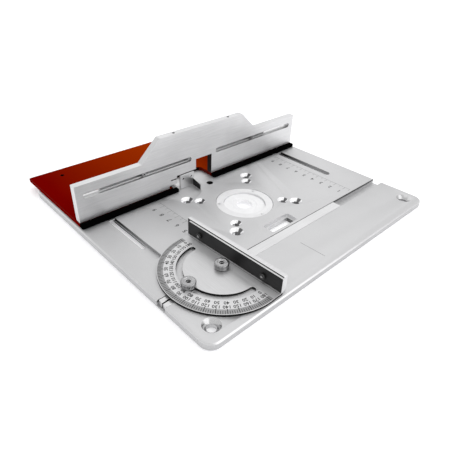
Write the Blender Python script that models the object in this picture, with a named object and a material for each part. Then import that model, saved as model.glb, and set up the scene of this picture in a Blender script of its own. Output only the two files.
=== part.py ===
"""Router table: an aluminium table plate with a fence and a miter gauge.

Every length is in metres.  The model is drawn in the plate's own frame: X along the fence,
Y from the plate's front edge to the back, Z up from the plate's top face.  One empty then
moves it all so that the world origin is at the bottom centre of the whole object.
"""
import math

import bmesh
import bpy
from mathutils import Matrix, Vector

# ---------------------------------------------------------------- driving dimensions
GAP = 0.0003               # air left between two pieces that touch
OVER = 0.001               # how far a cutter runs past the face that it cuts

PLATE_W = 0.250            # table plate, left to right
PLATE_D = 0.230            # table plate, front to back
PLATE_T = 0.006
PLATE_CORNER = 0.008
PLATE_CHAMFER = 0.0009

CORNER_HOLE_INSET = 0.0125
CORNER_HOLE_R = 0.0033
CORNER_SINK_R = 0.0061

CENTRE_Y = 0.0975          # the cutter's axis, from the front edge
RING_R = 0.0240            # outer ring
RING_FLANGE_T = 0.0024
RING_HUB_R = RING_R - 0.0048
RING_HUB_T = PLATE_T - 0.0006
RING_SEAT_R = RING_R - 0.0062   # step in the outer ring that holds the inner ring
RING_SEAT_DEPTH = RING_HUB_T - 0.0015
RING_BORE_R = RING_R - 0.0090
INNER_RING_T = 0.0017
CUTTER_HOLE_R = 0.0065
RING_SCREW_CIRCLE = RING_R - 0.0022
RING_SCREW_R = 0.0010
RING_SCREW_HEAD_R = 0.0017
RING_SCREW_SHANK = 0.0026
RING_SCREW_ANGLES = (265, 25, 145)

TOOL_HOLES = (             # half spacing in X and in Y, sink radius, bore radius
    (0.0355, 0.0302, 0.0054, 0.0030),
    (0.0280, 0.0219, 0.0046, 0.0026),
)
TOOL_PATTERN_Y = 0.1010

WINDOW_X, WINDOW_Y = -0.0003, 0.0572
WINDOW_LONG, WINDOW_WIDE = 0.0294, 0.0110
WINDOW_RIM, WINDOW_STEP, WINDOW_CORNER = 0.0018, 0.0026, 0.0015

PIN_HOLE_R = 0.0030        # starter pin hole behind the cutter
PIN_HOLE_BACK = 0.0447

BASE_SLOT_INSET = 0.0256   # slot centre line from the plate's side
BASE_SLOT_W = 0.0065       # upper step, where the key slides
BASE_SLOT_STEP = 0.0026
BASE_SLOT_FRONT = 0.0820
BASE_SLOT_REAR = 0.0080    # land behind the upper step
BOLT_R = 0.0020            # clamp bolt shank
BOLT_HEAD, BOLT_HEAD_T = 0.0070, 0.0015
BOLT_SLOT_W = 2 * BOLT_R + 2 * GAP   # lower step, where the bolt slides
BOLT_SLOT_FRONT = 0.1010
BOLT_SLOT_REAR = 0.0180
HEAD_GROOVE_W = BOLT_HEAD + 2 * GAP   # groove in the underside for the bolt's square head
HEAD_GROOVE_DEPTH = BOLT_HEAD_T + 2 * GAP
HEAD_GROOVE_EXTRA = 0.0024

MITER_SLOT_Y = 0.0450
MITER_SLOT_W = 0.00865
MITER_SLOT_DEPTH = 0.0042

FENCE_SETBACK = 0.0839     # fence front edge from the plate's rear edge
FENCE_DEPTH = 0.0995
FENCE_SIDE = 0.0017        # fence base's end from the plate's side
FENCE_T = 0.0032
NOTCH_LEFT, NOTCH_RIGHT = 0.0320, 0.0094
NOTCH_DEPTH = 0.0225
NOTCH_CORNER = 0.0040
SPARE_HOLE_IN, SPARE_HOLE_REAR, SPARE_HOLE_R = 0.0014, 0.0128, 0.0017

FACE_LEDGE = 0.0046        # ledge in front of the face
FACE_SIDE = 0.0023
FACE_T = 0.0058
FACE_LOW_TOP = 0.0344      # heights above the table's top
FACE_HIGH_TOP = 0.0519
CREST_TOP_HALF = 0.0464    # raised middle
CREST_FOOT_HALF = 0.0650
CREST_HOLE_X, CREST_HOLE_R, CREST_HOLE_DEPTH = 0.0306, 0.00125, 0.0060
FACE_WINDOW_HALF = 0.0092
FACE_WINDOW_TOP = 0.0231
FACE_NOTCH_LEFT, FACE_NOTCH_TOP = 0.0306, 0.0135
FACE_STEP_LEFT, FACE_STEP_TOP = 0.0388, 0.0063
FACE_SLIT_LEFT, FACE_SLIT_Z, FACE_SLIT_W = 0.0369, 0.0109, 0.0010
FACE_SLOT_Z = 0.0248
FACE_SLOT_W, FACE_SLOT_REAR_W, FACE_SLOT_STEP = 0.0042, 0.0030, 0.0030
FACE_SLOT_IN, FACE_SLOT_END = 0.0142, 0.0057
FACE_CORNER, FACE_CHAMFER = 0.0006, 0.0005

ANGLE_T = 0.0025
ANGLE_TOP = 0.0300
ANGLE_FOOT = 0.0140
ANGLE_IN = 0.0120          # inner end from the centre line
FOOT_LEFT_IN, FOOT_RIGHT_IN = 0.0323, 0.0262
ANGLE_LEFT_LONG, ANGLE_RIGHT_LONG = 0.0880, 0.0730
ANGLE_SCREW_END = 0.0090   # foot screws from the foot's ends

BOLT_BACK = 0.0319         # bolt from the fence's front edge
BOLT_TOP = 0.0135
KEY_FRONT, KEY_LONG, KEY_T = -0.0015, 0.0409, BASE_SLOT_STEP - 2 * GAP
WASHER_T, CLAMP_WASHER_R = 0.0008, 0.0052
CLAMP_NUT_R, CLAMP_NUT_H, CLAMP_NUT_RIBS = 0.0060, 0.0060, 24

BRACKET_T = 0.0013
BRACKET_SET = 0.0007       # bracket's back from the face
BRACKET_LEFT, BRACKET_RIGHT = 0.0286, 0.0131
BRACKET_TOP, BRACKET_FLOAT = 0.0132, 0.0005
BRACKET_ARM, BRACKET_ARM_IN = 0.0132, 0.0013
BRACKET_ARM_TOP, BRACKET_ARM_TIP = 0.0072, 0.0055
BRACKET_TAB, BRACKET_TAB_T, BRACKET_TAB_BACK = 0.0077, 0.0010, 0.0048
BRACKET_LAP = 0.0006       # tab's overlap with the leg
BRACKET_HOLE_R, BRACKET_HOLE_Z = 0.0009, 0.0098
BRACKET_HOLES_IN = (0.0032, 0.0120)

BAR_LONG = 0.1827
BAR_INSET = 0.0013         # bar's left end from the plate's side
BAR_TOP = 0.0001           # below the table's top
BAR_KERF_W, BAR_KERF_LONG = 0.0011, 0.0140
FIT_SCREW_IN, FIT_SCREW_R = 0.0080, 0.0015

PIVOT_IN = 0.0490          # pivot from the bar's left end
HEAD_TURN = math.radians(2.3)
DIAL_R, DIAL_T = 0.0435, 0.0018
DIAL_TO_FENCE = 0.0092     # pivot to the dial's upturned flange
FLANGE_T, FLANGE_H = 0.0015, 0.0136
GAUGE_SCREW_R, GAUGE_HEAD_R, GAUGE_HEAD_H = 0.0020, 0.0051, 0.0031
ARC_R, ARC_W, ARC_HALF = 0.0286, 2 * (GAUGE_SCREW_R + 0.0002), math.radians(88)
GAUGE_WASHER_R, GAUGE_WASHER_T = 0.0048, 0.0008
SOCKET_FLATS, SOCKET_DEPTH = 0.0032, 0.0017
GAUGE_FENCE_LONG, GAUGE_FENCE_T, GAUGE_FENCE_H = 0.0900, 0.0036, 0.0142
GAUGE_FENCE_SHIFT = 0.0020
GAUGE_FENCE_SCREW, GAUGE_FENCE_SCREW_Z = 0.0300, 0.0068

SMALL_SCREW_R, SMALL_HEAD_R, SMALL_HEAD_H = 0.0012, 0.0022, 0.0013
FACE_HEAD_R, FACE_HEAD_H = 0.0018, 0.0018
TAB_HEAD_R, TAB_HEAD_H = 0.0017, 0.0008
SMALL_SOCKET, SMALL_SOCKET_DEPTH = 0.0014, 0.0007
FIT_SOCKET_DEPTH = 0.0012
SMALL_DOME, LARGE_DOME, FLAT_DOME = 0.0006, 0.0014, 0.0003
SCREW_BITE = 0.0025        # how far a screw goes into the second piece

# ---------------------------------------------------------------- derived places
HALF_W = PLATE_W / 2
BASE_SLOT_X = HALF_W - BASE_SLOT_INSET
FENCE_HALF = HALF_W - FENCE_SIDE
FENCE_Y0 = PLATE_D - FENCE_SETBACK
FENCE_Y1 = FENCE_Y0 + FENCE_DEPTH
FENCE_TOP = GAP + FENCE_T
ON_FENCE = FENCE_TOP + GAP
FACE_Y0 = FENCE_Y0 + FACE_LEDGE
FACE_Y1 = FACE_Y0 + FACE_T
FACE_HALF = HALF_W - FACE_SIDE
ANGLE_Y0 = FACE_Y1 + GAP
BOLT_Y = FENCE_Y0 + BOLT_BACK
BAR_X0 = -HALF_W + BAR_INSET
PIVOT_X = BAR_X0 + PIVOT_IN
DIAL_TOP = GAP + DIAL_T
FACE_SLOT_OUT = FACE_HALF - FACE_SLOT_END
FACE_SCREW_X = 0.0627      # face screws from the centre line
SMOOTH_MIN, SMOOTH_MAX = math.radians(0.5), math.radians(35)
RING_SIDES, BIG_SIDES, MID_SIDES, SMALL_SIDES, TINY_SIDES = 64, 28, 24, 20, 14
RING_EDGE = 0.0004
RIB_DEPTH = 0.0004
KEY_CORNER = 0.0010
FINE_CHAMFER = 0.0003


# ---------------------------------------------------------------- modelling helpers
def clear_scene():
    """Remove every object of the open scene."""
    for obj in list(bpy.data.objects):
        bpy.data.objects.remove(obj, do_unlink=True)


def make_material(name, colour, roughness, metallic):
    """Return a Principled material."""
    mat = bpy.data.materials.new(name)
    mat.use_nodes = True
    shader = mat.node_tree.nodes["Principled BSDF"]
    shader.inputs["Base Color"].default_value = (*colour, 1.0)
    shader.inputs["Roughness"].default_value = roughness
    shader.inputs["Metallic"].default_value = metallic
    mat.diffuse_color = (*colour, 1.0)
    return mat


def make_empty(name, parent, at, turn=0.0):
    """Return an empty that carries other pieces."""
    empty = bpy.data.objects.new(name, None)
    bpy.context.scene.collection.objects.link(empty)
    empty.parent = parent
    empty.location = at
    empty.rotation_euler = (0, 0, turn)
    return empty


def make_object(name, bm, mat, parent, at=(0, 0, 0)):
    """Turn a bmesh into an object under a parent, with outward normals."""
    bmesh.ops.remove_doubles(bm, verts=bm.verts, dist=1e-6)
    bmesh.ops.recalc_face_normals(bm, faces=bm.faces)
    for face in bm.faces:
        face.smooth = any(SMOOTH_MIN < edge.calc_face_angle(0) < SMOOTH_MAX for edge in face.edges)
    mesh = bpy.data.meshes.new(name)
    bm.to_mesh(mesh)
    bm.free()
    mesh.set_sharp_from_angle(angle=SMOOTH_MAX)
    if mat:
        mesh.materials.append(mat)
    obj = bpy.data.objects.new(name, mesh)
    bpy.context.scene.collection.objects.link(obj)
    obj.parent = parent
    obj.location = at
    return obj


def add_prism(bm, outline, low, high, plane="XY"):
    """Extrude a flat outline; plane XZ stands it up, so that low and high are along Y."""
    place = {"XY": lambda u, v: (u, v, low), "XZ": lambda u, v: (u, low, v),
             "YZ": lambda u, v: (low, u, v)}[plane]
    along = {"XY": (0, 0, 1), "XZ": (0, 1, 0), "YZ": (1, 0, 0)}[plane]
    face = bm.faces.new([bm.verts.new(place(u, v)) for u, v in outline])
    grown = bmesh.ops.extrude_face_region(bm, geom=[face])
    tops = [item for item in grown["geom"] if isinstance(item, bmesh.types.BMVert)]
    bmesh.ops.translate(bm, verts=tops, vec=Vector(along) * (high - low))


def add_turned(bm, profile, sides, at=(0, 0, 0)):
    """Spin a closed (radius, height) profile about a vertical axis at a place."""
    centre = Vector(at)
    verts = [bm.verts.new(centre + Vector((r, 0, z))) for r, z in profile]
    edges = [bm.edges.new((a, b)) for a, b in zip(verts, verts[1:] + verts[:1])
             if min((a.co - centre).to_2d().length, 1) > 1e-9
             or (b.co - centre).to_2d().length > 1e-9]
    bmesh.ops.spin(bm, geom=verts + edges, cent=centre, axis=(0, 0, 1),
                   angle=2 * math.pi, steps=sides, use_merge=True)
    bmesh.ops.remove_doubles(bm, verts=bm.verts, dist=1e-7)


def box(x0, x1, y0, y1):
    """Outline of a plain rectangle."""
    return [(x0, y0), (x1, y0), (x1, y1), (x0, y1)]


def arc(cx, cy, r, start, end, steps):
    """Points along an arc, angles in radians."""
    return [(cx + r * math.cos(start + (end - start) * i / steps),
             cy + r * math.sin(start + (end - start) * i / steps)) for i in range(steps + 1)]


def rounded(x0, x1, y0, y1, r, steps=6):
    """Outline of a rectangle with rounded corners."""
    quarter = math.pi / 2
    points = []
    for turn, (cx, cy) in enumerate(((x1 - r, y1 - r), (x0 + r, y1 - r),
                                     (x0 + r, y0 + r), (x1 - r, y0 + r))):
        points += arc(cx, cy, r, turn * quarter, (turn + 1) * quarter, steps)
    return points


def slot(x0, x1, y0, y1, steps=8):
    """Outline of a slot with round ends along its longer side."""
    r = min(x1 - x0, y1 - y0) / 2
    if x1 - x0 > y1 - y0:
        return (arc(x1 - r, y0 + r, r, -math.pi / 2, math.pi / 2, steps)
                + arc(x0 + r, y0 + r, r, math.pi / 2, 1.5 * math.pi, steps))
    return (arc(x0 + r, y1 - r, r, 0, math.pi, steps)
            + arc(x0 + r, y0 + r, r, math.pi, 2 * math.pi, steps))


def hexagon(flats):
    """Outline of a hexagon across its flats."""
    r = flats / math.sqrt(3)
    return [(r * math.cos(math.pi * i / 3), r * math.sin(math.pi * i / 3)) for i in range(6)]


def bevel(obj, width):
    """Break the sharp edges of a piece."""
    mod = obj.modifiers.new("edge_break", "BEVEL")
    mod.width = width
    mod.segments = 1
    mod.limit_method = "ANGLE"
    mod.angle_limit = math.radians(40)


def combine(obj, name, bm, at, operation):
    """Combine a piece with a hidden helper shape."""
    helper = make_object(name, bm, None, obj.parent, at)
    helper.hide_render = True
    helper.display_type = "WIRE"
    mod = obj.modifiers.new(name, "BOOLEAN")
    mod.operation = operation
    mod.solver = "EXACT"
    mod.object = helper


def cut(obj, name, bm, at=(0, 0, 0)):
    """Cut a shape out of a piece."""
    combine(obj, name, bm, at, "DIFFERENCE")


def join(obj, name, bm, at=(0, 0, 0)):
    """Join a shape to a piece."""
    combine(obj, name, bm, at, "UNION")


def sink_profile(sink_r, bore_r, top, bottom):
    """Profile of a countersunk through hole."""
    return [(0, bottom - OVER), (bore_r, bottom - OVER), (bore_r, top - (sink_r - bore_r)),
            (sink_r, top), (sink_r, top + OVER), (0, top + OVER)]


def hole_profile(r, top, bottom):
    """Profile of a plain hole cutter."""
    return [(0, bottom), (r, bottom), (r, top), (0, top)]


# ---------------------------------------------------------------- table plate
def ring_screw_places():
    """Where the three ring screws stand."""
    return [(RING_SCREW_CIRCLE * math.cos(math.radians(a)),
             CENTRE_Y + RING_SCREW_CIRCLE * math.sin(math.radians(a))) for a in RING_SCREW_ANGLES]


def build_plate(frame, mat):
    """The table plate with its slots, holes and ring seat."""
    bm = bmesh.new()
    add_prism(bm, rounded(-HALF_W, HALF_W, 0, PLATE_D, PLATE_CORNER), -PLATE_T, 0)
    plate = make_object("table_plate", bm, mat, frame)
    bevel(plate, PLATE_CHAMFER)

    bm = bmesh.new()
    side = MITER_SLOT_W / 2
    reach = HALF_W + OVER
    add_prism(bm, box(-reach, reach, MITER_SLOT_Y - side, MITER_SLOT_Y + side), -MITER_SLOT_DEPTH, OVER)
    cut(plate, "cut_miter_slot", bm)

    for place, across in (("left", -BASE_SLOT_X), ("right", BASE_SLOT_X)):
        cut_base_slot(plate, place, across)

    bm = bmesh.new()
    seat = RING_FLANGE_T + 2 * GAP
    add_turned(bm, [(0, -PLATE_T - OVER), (RING_HUB_R + GAP, -PLATE_T - OVER), (RING_HUB_R + GAP, -seat),
                    (RING_R + GAP, -seat), (RING_R + GAP, OVER), (0, OVER)], RING_SIDES,
               (0, CENTRE_Y, 0))
    cut(plate, "cut_ring_seat", bm)

    cut(plate, "cut_round_holes", plate_hole_cutters())
    cut_sight_window(plate)
    return plate


def plate_hole_cutters():
    """Corner, tool, pin and ring screw holes as one set of separate cutters."""
    bm = bmesh.new()
    inset_x = HALF_W - CORNER_HOLE_INSET
    for x in (-inset_x, inset_x):
        for y in (CORNER_HOLE_INSET, PLATE_D - CORNER_HOLE_INSET):
            add_turned(bm, sink_profile(CORNER_SINK_R, CORNER_HOLE_R, 0, -PLATE_T), BIG_SIDES, (x, y, 0))
    for half_x, half_y, sink_r, bore_r in TOOL_HOLES:
        for x in (-half_x, half_x):
            for y in (TOOL_PATTERN_Y - half_y, TOOL_PATTERN_Y + half_y):
                add_turned(bm, sink_profile(sink_r, bore_r, 0, -PLATE_T), MID_SIDES, (x, y, 0))
    through = (OVER, -PLATE_T - OVER)
    add_turned(bm, hole_profile(PIN_HOLE_R, *through), MID_SIDES, (0, CENTRE_Y + PIN_HOLE_BACK, 0))
    for x, y in ring_screw_places():
        add_turned(bm, hole_profile(RING_SCREW_R + GAP, -RING_FLANGE_T, -PLATE_T - OVER), TINY_SIDES,
                   (x, y, 0))
    return bm


def cut_base_slot(plate, place, x):
    """Stepped slot for the fence's key, bolt and bolt head."""
    upper, lower, groove = BASE_SLOT_W / 2, BOLT_SLOT_W / 2, HEAD_GROOVE_W / 2
    rear = PLATE_D - BOLT_SLOT_REAR
    bm = bmesh.new()
    add_prism(bm, slot(x - upper, x + upper, BASE_SLOT_FRONT, PLATE_D - BASE_SLOT_REAR),
              -BASE_SLOT_STEP, OVER)
    cut(plate, "cut_key_slot_" + place, bm)
    bm = bmesh.new()
    add_prism(bm, slot(x - lower, x + lower, BOLT_SLOT_FRONT, rear), -PLATE_T - OVER, -BASE_SLOT_STEP + OVER)
    cut(plate, "cut_bolt_slot_" + place, bm)
    bm = bmesh.new()
    add_prism(bm, box(x - groove, x + groove, BOLT_SLOT_FRONT - HEAD_GROOVE_EXTRA, rear + HEAD_GROOVE_EXTRA),
              -PLATE_T - OVER, -PLATE_T + HEAD_GROOVE_DEPTH)
    cut(plate, "cut_head_groove_" + place, bm)


def cut_sight_window(plate):
    """Stepped rectangular window in front of the ring."""
    half_x, half_y = WINDOW_LONG / 2, WINDOW_WIDE / 2
    bm = bmesh.new()
    add_prism(bm, rounded(WINDOW_X - half_x, WINDOW_X + half_x, WINDOW_Y - half_y, WINDOW_Y + half_y,
                          WINDOW_CORNER, 4), -WINDOW_STEP, OVER)
    cut(plate, "cut_window_rim", bm)
    half_x, half_y = half_x - WINDOW_RIM, half_y - WINDOW_RIM
    bm = bmesh.new()
    add_prism(bm, rounded(WINDOW_X - half_x, WINDOW_X + half_x, WINDOW_Y - half_y, WINDOW_Y + half_y,
                          WINDOW_CORNER, 4), -PLATE_T - OVER, -WINDOW_STEP + OVER)
    cut(plate, "cut_window", bm)


# ---------------------------------------------------------------- rings
def build_rings(frame, ring_mat, steel):
    """Outer ring, inner ring and the three screws that hold the outer ring."""
    top = -GAP
    under_flange = top - RING_FLANGE_T
    bm = bmesh.new()
    add_turned(bm, [(RING_BORE_R, top - RING_HUB_T), (RING_HUB_R, top - RING_HUB_T),
                    (RING_HUB_R, under_flange), (RING_R, under_flange), (RING_R, top - RING_EDGE),
                    (RING_R - RING_EDGE, top), (RING_SEAT_R, top), (RING_SEAT_R, -RING_SEAT_DEPTH),
                    (RING_BORE_R, -RING_SEAT_DEPTH)], RING_SIDES)
    outer = make_object("outer_ring", bm, ring_mat, frame, (0, CENTRE_Y, 0))
    bm = bmesh.new()
    for x, y in ring_screw_places():
        add_turned(bm, sink_profile(RING_SCREW_HEAD_R + GAP, RING_SCREW_R + GAP, top, under_flange),
                   TINY_SIDES, (x, y - CENTRE_Y, 0))
    cut(outer, "cut_ring_screws", bm, (0, CENTRE_Y, 0))

    bm = bmesh.new()
    low = -RING_SEAT_DEPTH + GAP
    high = low + INNER_RING_T
    edge = RING_EDGE
    add_turned(bm, [(CUTTER_HOLE_R, low), (RING_SEAT_R - GAP, low), (RING_SEAT_R - GAP, high - edge),
                    (RING_SEAT_R - GAP - edge, high), (CUTTER_HOLE_R + edge, high),
                    (CUTTER_HOLE_R, high - edge)], RING_SIDES)
    make_object("inner_ring", bm, ring_mat, frame, (0, CENTRE_Y, 0))

    for number, (x, y) in enumerate(ring_screw_places(), 1):
        bm = bmesh.new()
        head_low = top - (RING_SCREW_HEAD_R - RING_SCREW_R)
        add_turned(bm, [(0, under_flange - RING_SCREW_SHANK), (RING_SCREW_R, under_flange - RING_SCREW_SHANK),
                        (RING_SCREW_R, head_low - GAP), (RING_SCREW_HEAD_R, top - GAP), (0, top - GAP)],
                   TINY_SIDES)
        make_object(f"ring_screw_{number}", bm, steel, frame, (x, y, 0))


# ---------------------------------------------------------------- fence
def build_fence_base(fence, mat):
    """The flat base of the fence, with the notch that clears the cutter."""
    bm = bmesh.new()
    r = NOTCH_CORNER
    notch_y = FENCE_Y0 + NOTCH_DEPTH
    outline = ([(FENCE_HALF, FENCE_Y0)] + rounded_rear() + [(-FENCE_HALF, FENCE_Y0), (-NOTCH_LEFT, FENCE_Y0)]
               + arc(-NOTCH_LEFT + r, notch_y - r, r, math.pi, math.pi / 2, 5)
               + arc(NOTCH_RIGHT - r, notch_y - r, r, math.pi / 2, 0, 5) + [(NOTCH_RIGHT, FENCE_Y0)])
    add_prism(bm, outline, GAP, FENCE_TOP)
    base = make_object("fence_base", bm, mat, fence)
    bm = bmesh.new()
    through = (FENCE_TOP + OVER, GAP - OVER)
    for sign in (-1, 1):
        add_turned(bm, hole_profile(BOLT_R + GAP, *through), SMALL_SIDES, (sign * BASE_SLOT_X, BOLT_Y, 0))
        add_turned(bm, hole_profile(SPARE_HOLE_R, *through), SMALL_SIDES,
                   (sign * (BASE_SLOT_X - SPARE_HOLE_IN), FENCE_Y1 - SPARE_HOLE_REAR, 0))
        for x in angle_screw_places(sign):
            add_turned(bm, hole_profile(SMALL_SCREW_R + GAP, *through), TINY_SIDES, (x, angle_screw_y(), 0))
    add_turned(bm, hole_profile(SMALL_SCREW_R + GAP, *through), TINY_SIDES, (*tab_screw_place(), 0))
    cut(base, "cut_fence_base_holes", bm)


def rounded_rear():
    """The rear corners of the fence base."""
    r = FACE_CORNER
    return (arc(FENCE_HALF - r, FENCE_Y1 - r, r, 0, math.pi / 2, 4)
            + arc(-FENCE_HALF + r, FENCE_Y1 - r, r, math.pi / 2, math.pi, 4))


def build_face(face, mat):
    """The fence face: one plate with a raised middle, two slots and the cutter window."""
    bm = bmesh.new()
    low, r = ON_FENCE, FACE_CORNER
    outline = ([(-FACE_HALF, low), (-FACE_STEP_LEFT, low), (-FACE_STEP_LEFT, FACE_STEP_TOP),
                (-FACE_NOTCH_LEFT, FACE_STEP_TOP), (-FACE_NOTCH_LEFT, FACE_NOTCH_TOP),
                (-FACE_WINDOW_HALF, FACE_NOTCH_TOP), (-FACE_WINDOW_HALF, FACE_WINDOW_TOP),
                (FACE_WINDOW_HALF, FACE_WINDOW_TOP), (FACE_WINDOW_HALF, low), (FACE_HALF, low)]
               + arc(FACE_HALF - r, FACE_LOW_TOP - r, r, 0, math.pi / 2, 4)
               + [(CREST_FOOT_HALF, FACE_LOW_TOP), (CREST_TOP_HALF, FACE_HIGH_TOP),
                  (-CREST_TOP_HALF, FACE_HIGH_TOP), (-CREST_FOOT_HALF, FACE_LOW_TOP)]
               + arc(-FACE_HALF + r, FACE_LOW_TOP - r, r, math.pi / 2, math.pi, 4))
    add_prism(bm, outline, FACE_Y0, FACE_Y1, "XZ")
    plate = make_object("fence_face", bm, mat, face)
    bevel(plate, FACE_CHAMFER)
    for name, width, front, back in (
            ("cut_face_slots", FACE_SLOT_W, FACE_Y0 - OVER, FACE_Y0 + FACE_SLOT_STEP),
            ("cut_face_slots_rear", FACE_SLOT_REAR_W, FACE_Y0 + FACE_SLOT_STEP - OVER, FACE_Y1 + OVER)):
        bm = bmesh.new()
        trim = (FACE_SLOT_W - width) / 2
        for sign in (-1, 1):
            ends = sorted((sign * (FACE_SLOT_IN + trim), sign * (FACE_SLOT_OUT - trim)))
            add_prism(bm, slot(*ends, FACE_SLOT_Z - width / 2, FACE_SLOT_Z + width / 2), front, back, "XZ")
        cut(plate, name, bm)
    bm = bmesh.new()
    half = FACE_SLIT_W / 2
    add_prism(bm, [(-FACE_SLIT_LEFT, FACE_SLIT_Z - half), (-FACE_NOTCH_LEFT + OVER, FACE_SLIT_Z - half),
                   (-FACE_NOTCH_LEFT + OVER, FACE_SLIT_Z + half), (-FACE_SLIT_LEFT, FACE_SLIT_Z + half)],
              FACE_Y0 - OVER, FACE_Y1 + OVER, "XZ")
    cut(plate, "cut_face_slit", bm)
    bm = bmesh.new()
    for sign in (-1, 1):
        add_turned(bm, hole_profile(CREST_HOLE_R, FACE_HIGH_TOP + OVER, FACE_HIGH_TOP - CREST_HOLE_DEPTH),
                   TINY_SIDES, (sign * CREST_HOLE_X, (FACE_Y0 + FACE_Y1) / 2, 0))
    cut(plate, "cut_crest_holes", bm)


def angle_ends(sign):
    """Inner and outer ends of an angle, from left to right."""
    long = ANGLE_LEFT_LONG if sign < 0 else ANGLE_RIGHT_LONG
    return sorted((sign * ANGLE_IN, sign * (ANGLE_IN + long)))


def foot_ends(sign):
    """Ends of an angle's foot, which keeps clear of the base's notch and the cutter."""
    left, right = angle_ends(sign)
    return (left, -FOOT_LEFT_IN) if sign < 0 else (FOOT_RIGHT_IN, right)


def angle_screw_places(sign):
    """Foot screws of one angle."""
    left, right = foot_ends(sign)
    return (left + ANGLE_SCREW_END, right - ANGLE_SCREW_END)


def angle_screw_y():
    """Foot screws' distance back."""
    return ANGLE_Y0 + (ANGLE_FOOT + ANGLE_T) / 2


def build_angle(fence, mat, sign, name):
    """One L-shaped angle behind the face; its web is cut away over the base's notch."""
    left, right = angle_ends(sign)
    bm = bmesh.new()
    profile = [(ANGLE_Y0, ON_FENCE), (ANGLE_Y0 + ANGLE_FOOT, ON_FENCE),
               (ANGLE_Y0 + ANGLE_FOOT, ON_FENCE + ANGLE_T), (ANGLE_Y0 + ANGLE_T, ON_FENCE + ANGLE_T),
               (ANGLE_Y0 + ANGLE_T, ANGLE_TOP), (ANGLE_Y0, ANGLE_TOP)]
    add_prism(bm, profile, left, right, "YZ")
    angle = make_object(name, bm, mat, fence)
    foot_left, foot_right = foot_ends(sign)
    short = (foot_right, right + OVER) if sign < 0 else (left - OVER, foot_left)
    bm = bmesh.new()
    add_prism(bm, box(*short, ANGLE_Y0 - OVER, ANGLE_Y0 + ANGLE_FOOT + OVER),
              ON_FENCE - OVER, FACE_NOTCH_TOP + OVER)
    cut(angle, "cut_web_" + name, bm)
    bm = bmesh.new()
    for x in angle_screw_places(sign):
        add_turned(bm, hole_profile(SMALL_SCREW_R + GAP, ON_FENCE + ANGLE_T + OVER, ON_FENCE - OVER),
                   TINY_SIDES, (x, angle_screw_y(), 0))
    cut(angle, "cut_foot_" + name, bm)
    bm = bmesh.new()
    add_turned(bm, hole_profile(SMALL_SCREW_R + GAP, ANGLE_T + OVER, -OVER), TINY_SIDES)
    lie_along_y(bm)
    cut(angle, "cut_face_screw_" + name, bm, (sign * FACE_SCREW_X, ANGLE_Y0, FACE_SLOT_Z))


def lie_along_y(bm):
    """Turn a shape made along +Z so that it points along +Y."""
    bmesh.ops.rotate(bm, verts=bm.verts, cent=(0, 0, 0), matrix=Matrix.Rotation(-math.pi / 2, 3, "X"))


def lie_along_x(bm, sign=1):
    """Turn a shape made along +Z so that it points along +X or -X."""
    bmesh.ops.rotate(bm, verts=bm.verts, cent=(0, 0, 0), matrix=Matrix.Rotation(sign * math.pi / 2, 3, "Y"))


def screw_profile(shank_r, shank_low, head_r, head_low, head_high, dome):
    """Profile of a screw with a domed head."""
    return [(0, shank_low), (shank_r, shank_low), (shank_r, head_low), (head_r, head_low),
            (head_r, head_high - dome), (head_r - dome * 0.45, head_high - dome * 0.35),
            (head_r - dome * 1.2, head_high), (0, head_high)]


def add_screw(name, parent, mat, at, profile, socket_size, sides=TINY_SIDES, lie=None):
    """A socket screw standing on its own axis; the socket's size is its flats and depth."""
    bm = bmesh.new()
    add_turned(bm, profile, sides)
    top = max(z for _, z in profile)
    flats, depth = socket_size
    socket = bmesh.new()
    add_prism(socket, hexagon(flats), top - depth, top + OVER)
    if lie:
        lie(bm)
        lie(socket)
    screw = make_object(name, bm, mat, parent, at)
    cut(screw, "cut_socket_" + name, socket, at)
    return screw


def build_angle_screws(fence, mat):
    """Screws that hold the angles to the fence base."""
    seat = ON_FENCE + ANGLE_T + GAP
    profile = screw_profile(SMALL_SCREW_R, GAP, SMALL_HEAD_R, seat, seat + SMALL_HEAD_H, SMALL_DOME)
    for sign, side in ((-1, "left"), (1, "right")):
        for number, x in enumerate(angle_screw_places(sign), 1):
            add_screw(f"angle_screw_{side}_{number}", fence, mat, (x, angle_screw_y(), 0), profile,
                      (SMALL_SOCKET, SMALL_SOCKET_DEPTH))


def build_face_screws(fence, mat):
    """Screws through the face's slots into the angles, their heads inside the slots."""
    head_back = FACE_Y0 + FACE_SLOT_STEP - GAP
    profile = screw_profile(SMALL_SCREW_R, -(ANGLE_Y0 + ANGLE_T - head_back), FACE_HEAD_R, 0, FACE_HEAD_H,
                            FLAT_DOME)
    for sign, side in ((-1, "left"), (1, "right")):
        add_screw("face_screw_" + side, fence, mat, (sign * FACE_SCREW_X, head_back, FACE_SLOT_Z),
                  profile, (SMALL_SOCKET, SMALL_SOCKET_DEPTH), lie=lie_to_front)


def lie_to_front(bm):
    """Turn a shape made along +Z so that it points along -Y."""
    bmesh.ops.rotate(bm, verts=bm.verts, cent=(0, 0, 0), matrix=Matrix.Rotation(math.pi / 2, 3, "X"))


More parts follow.
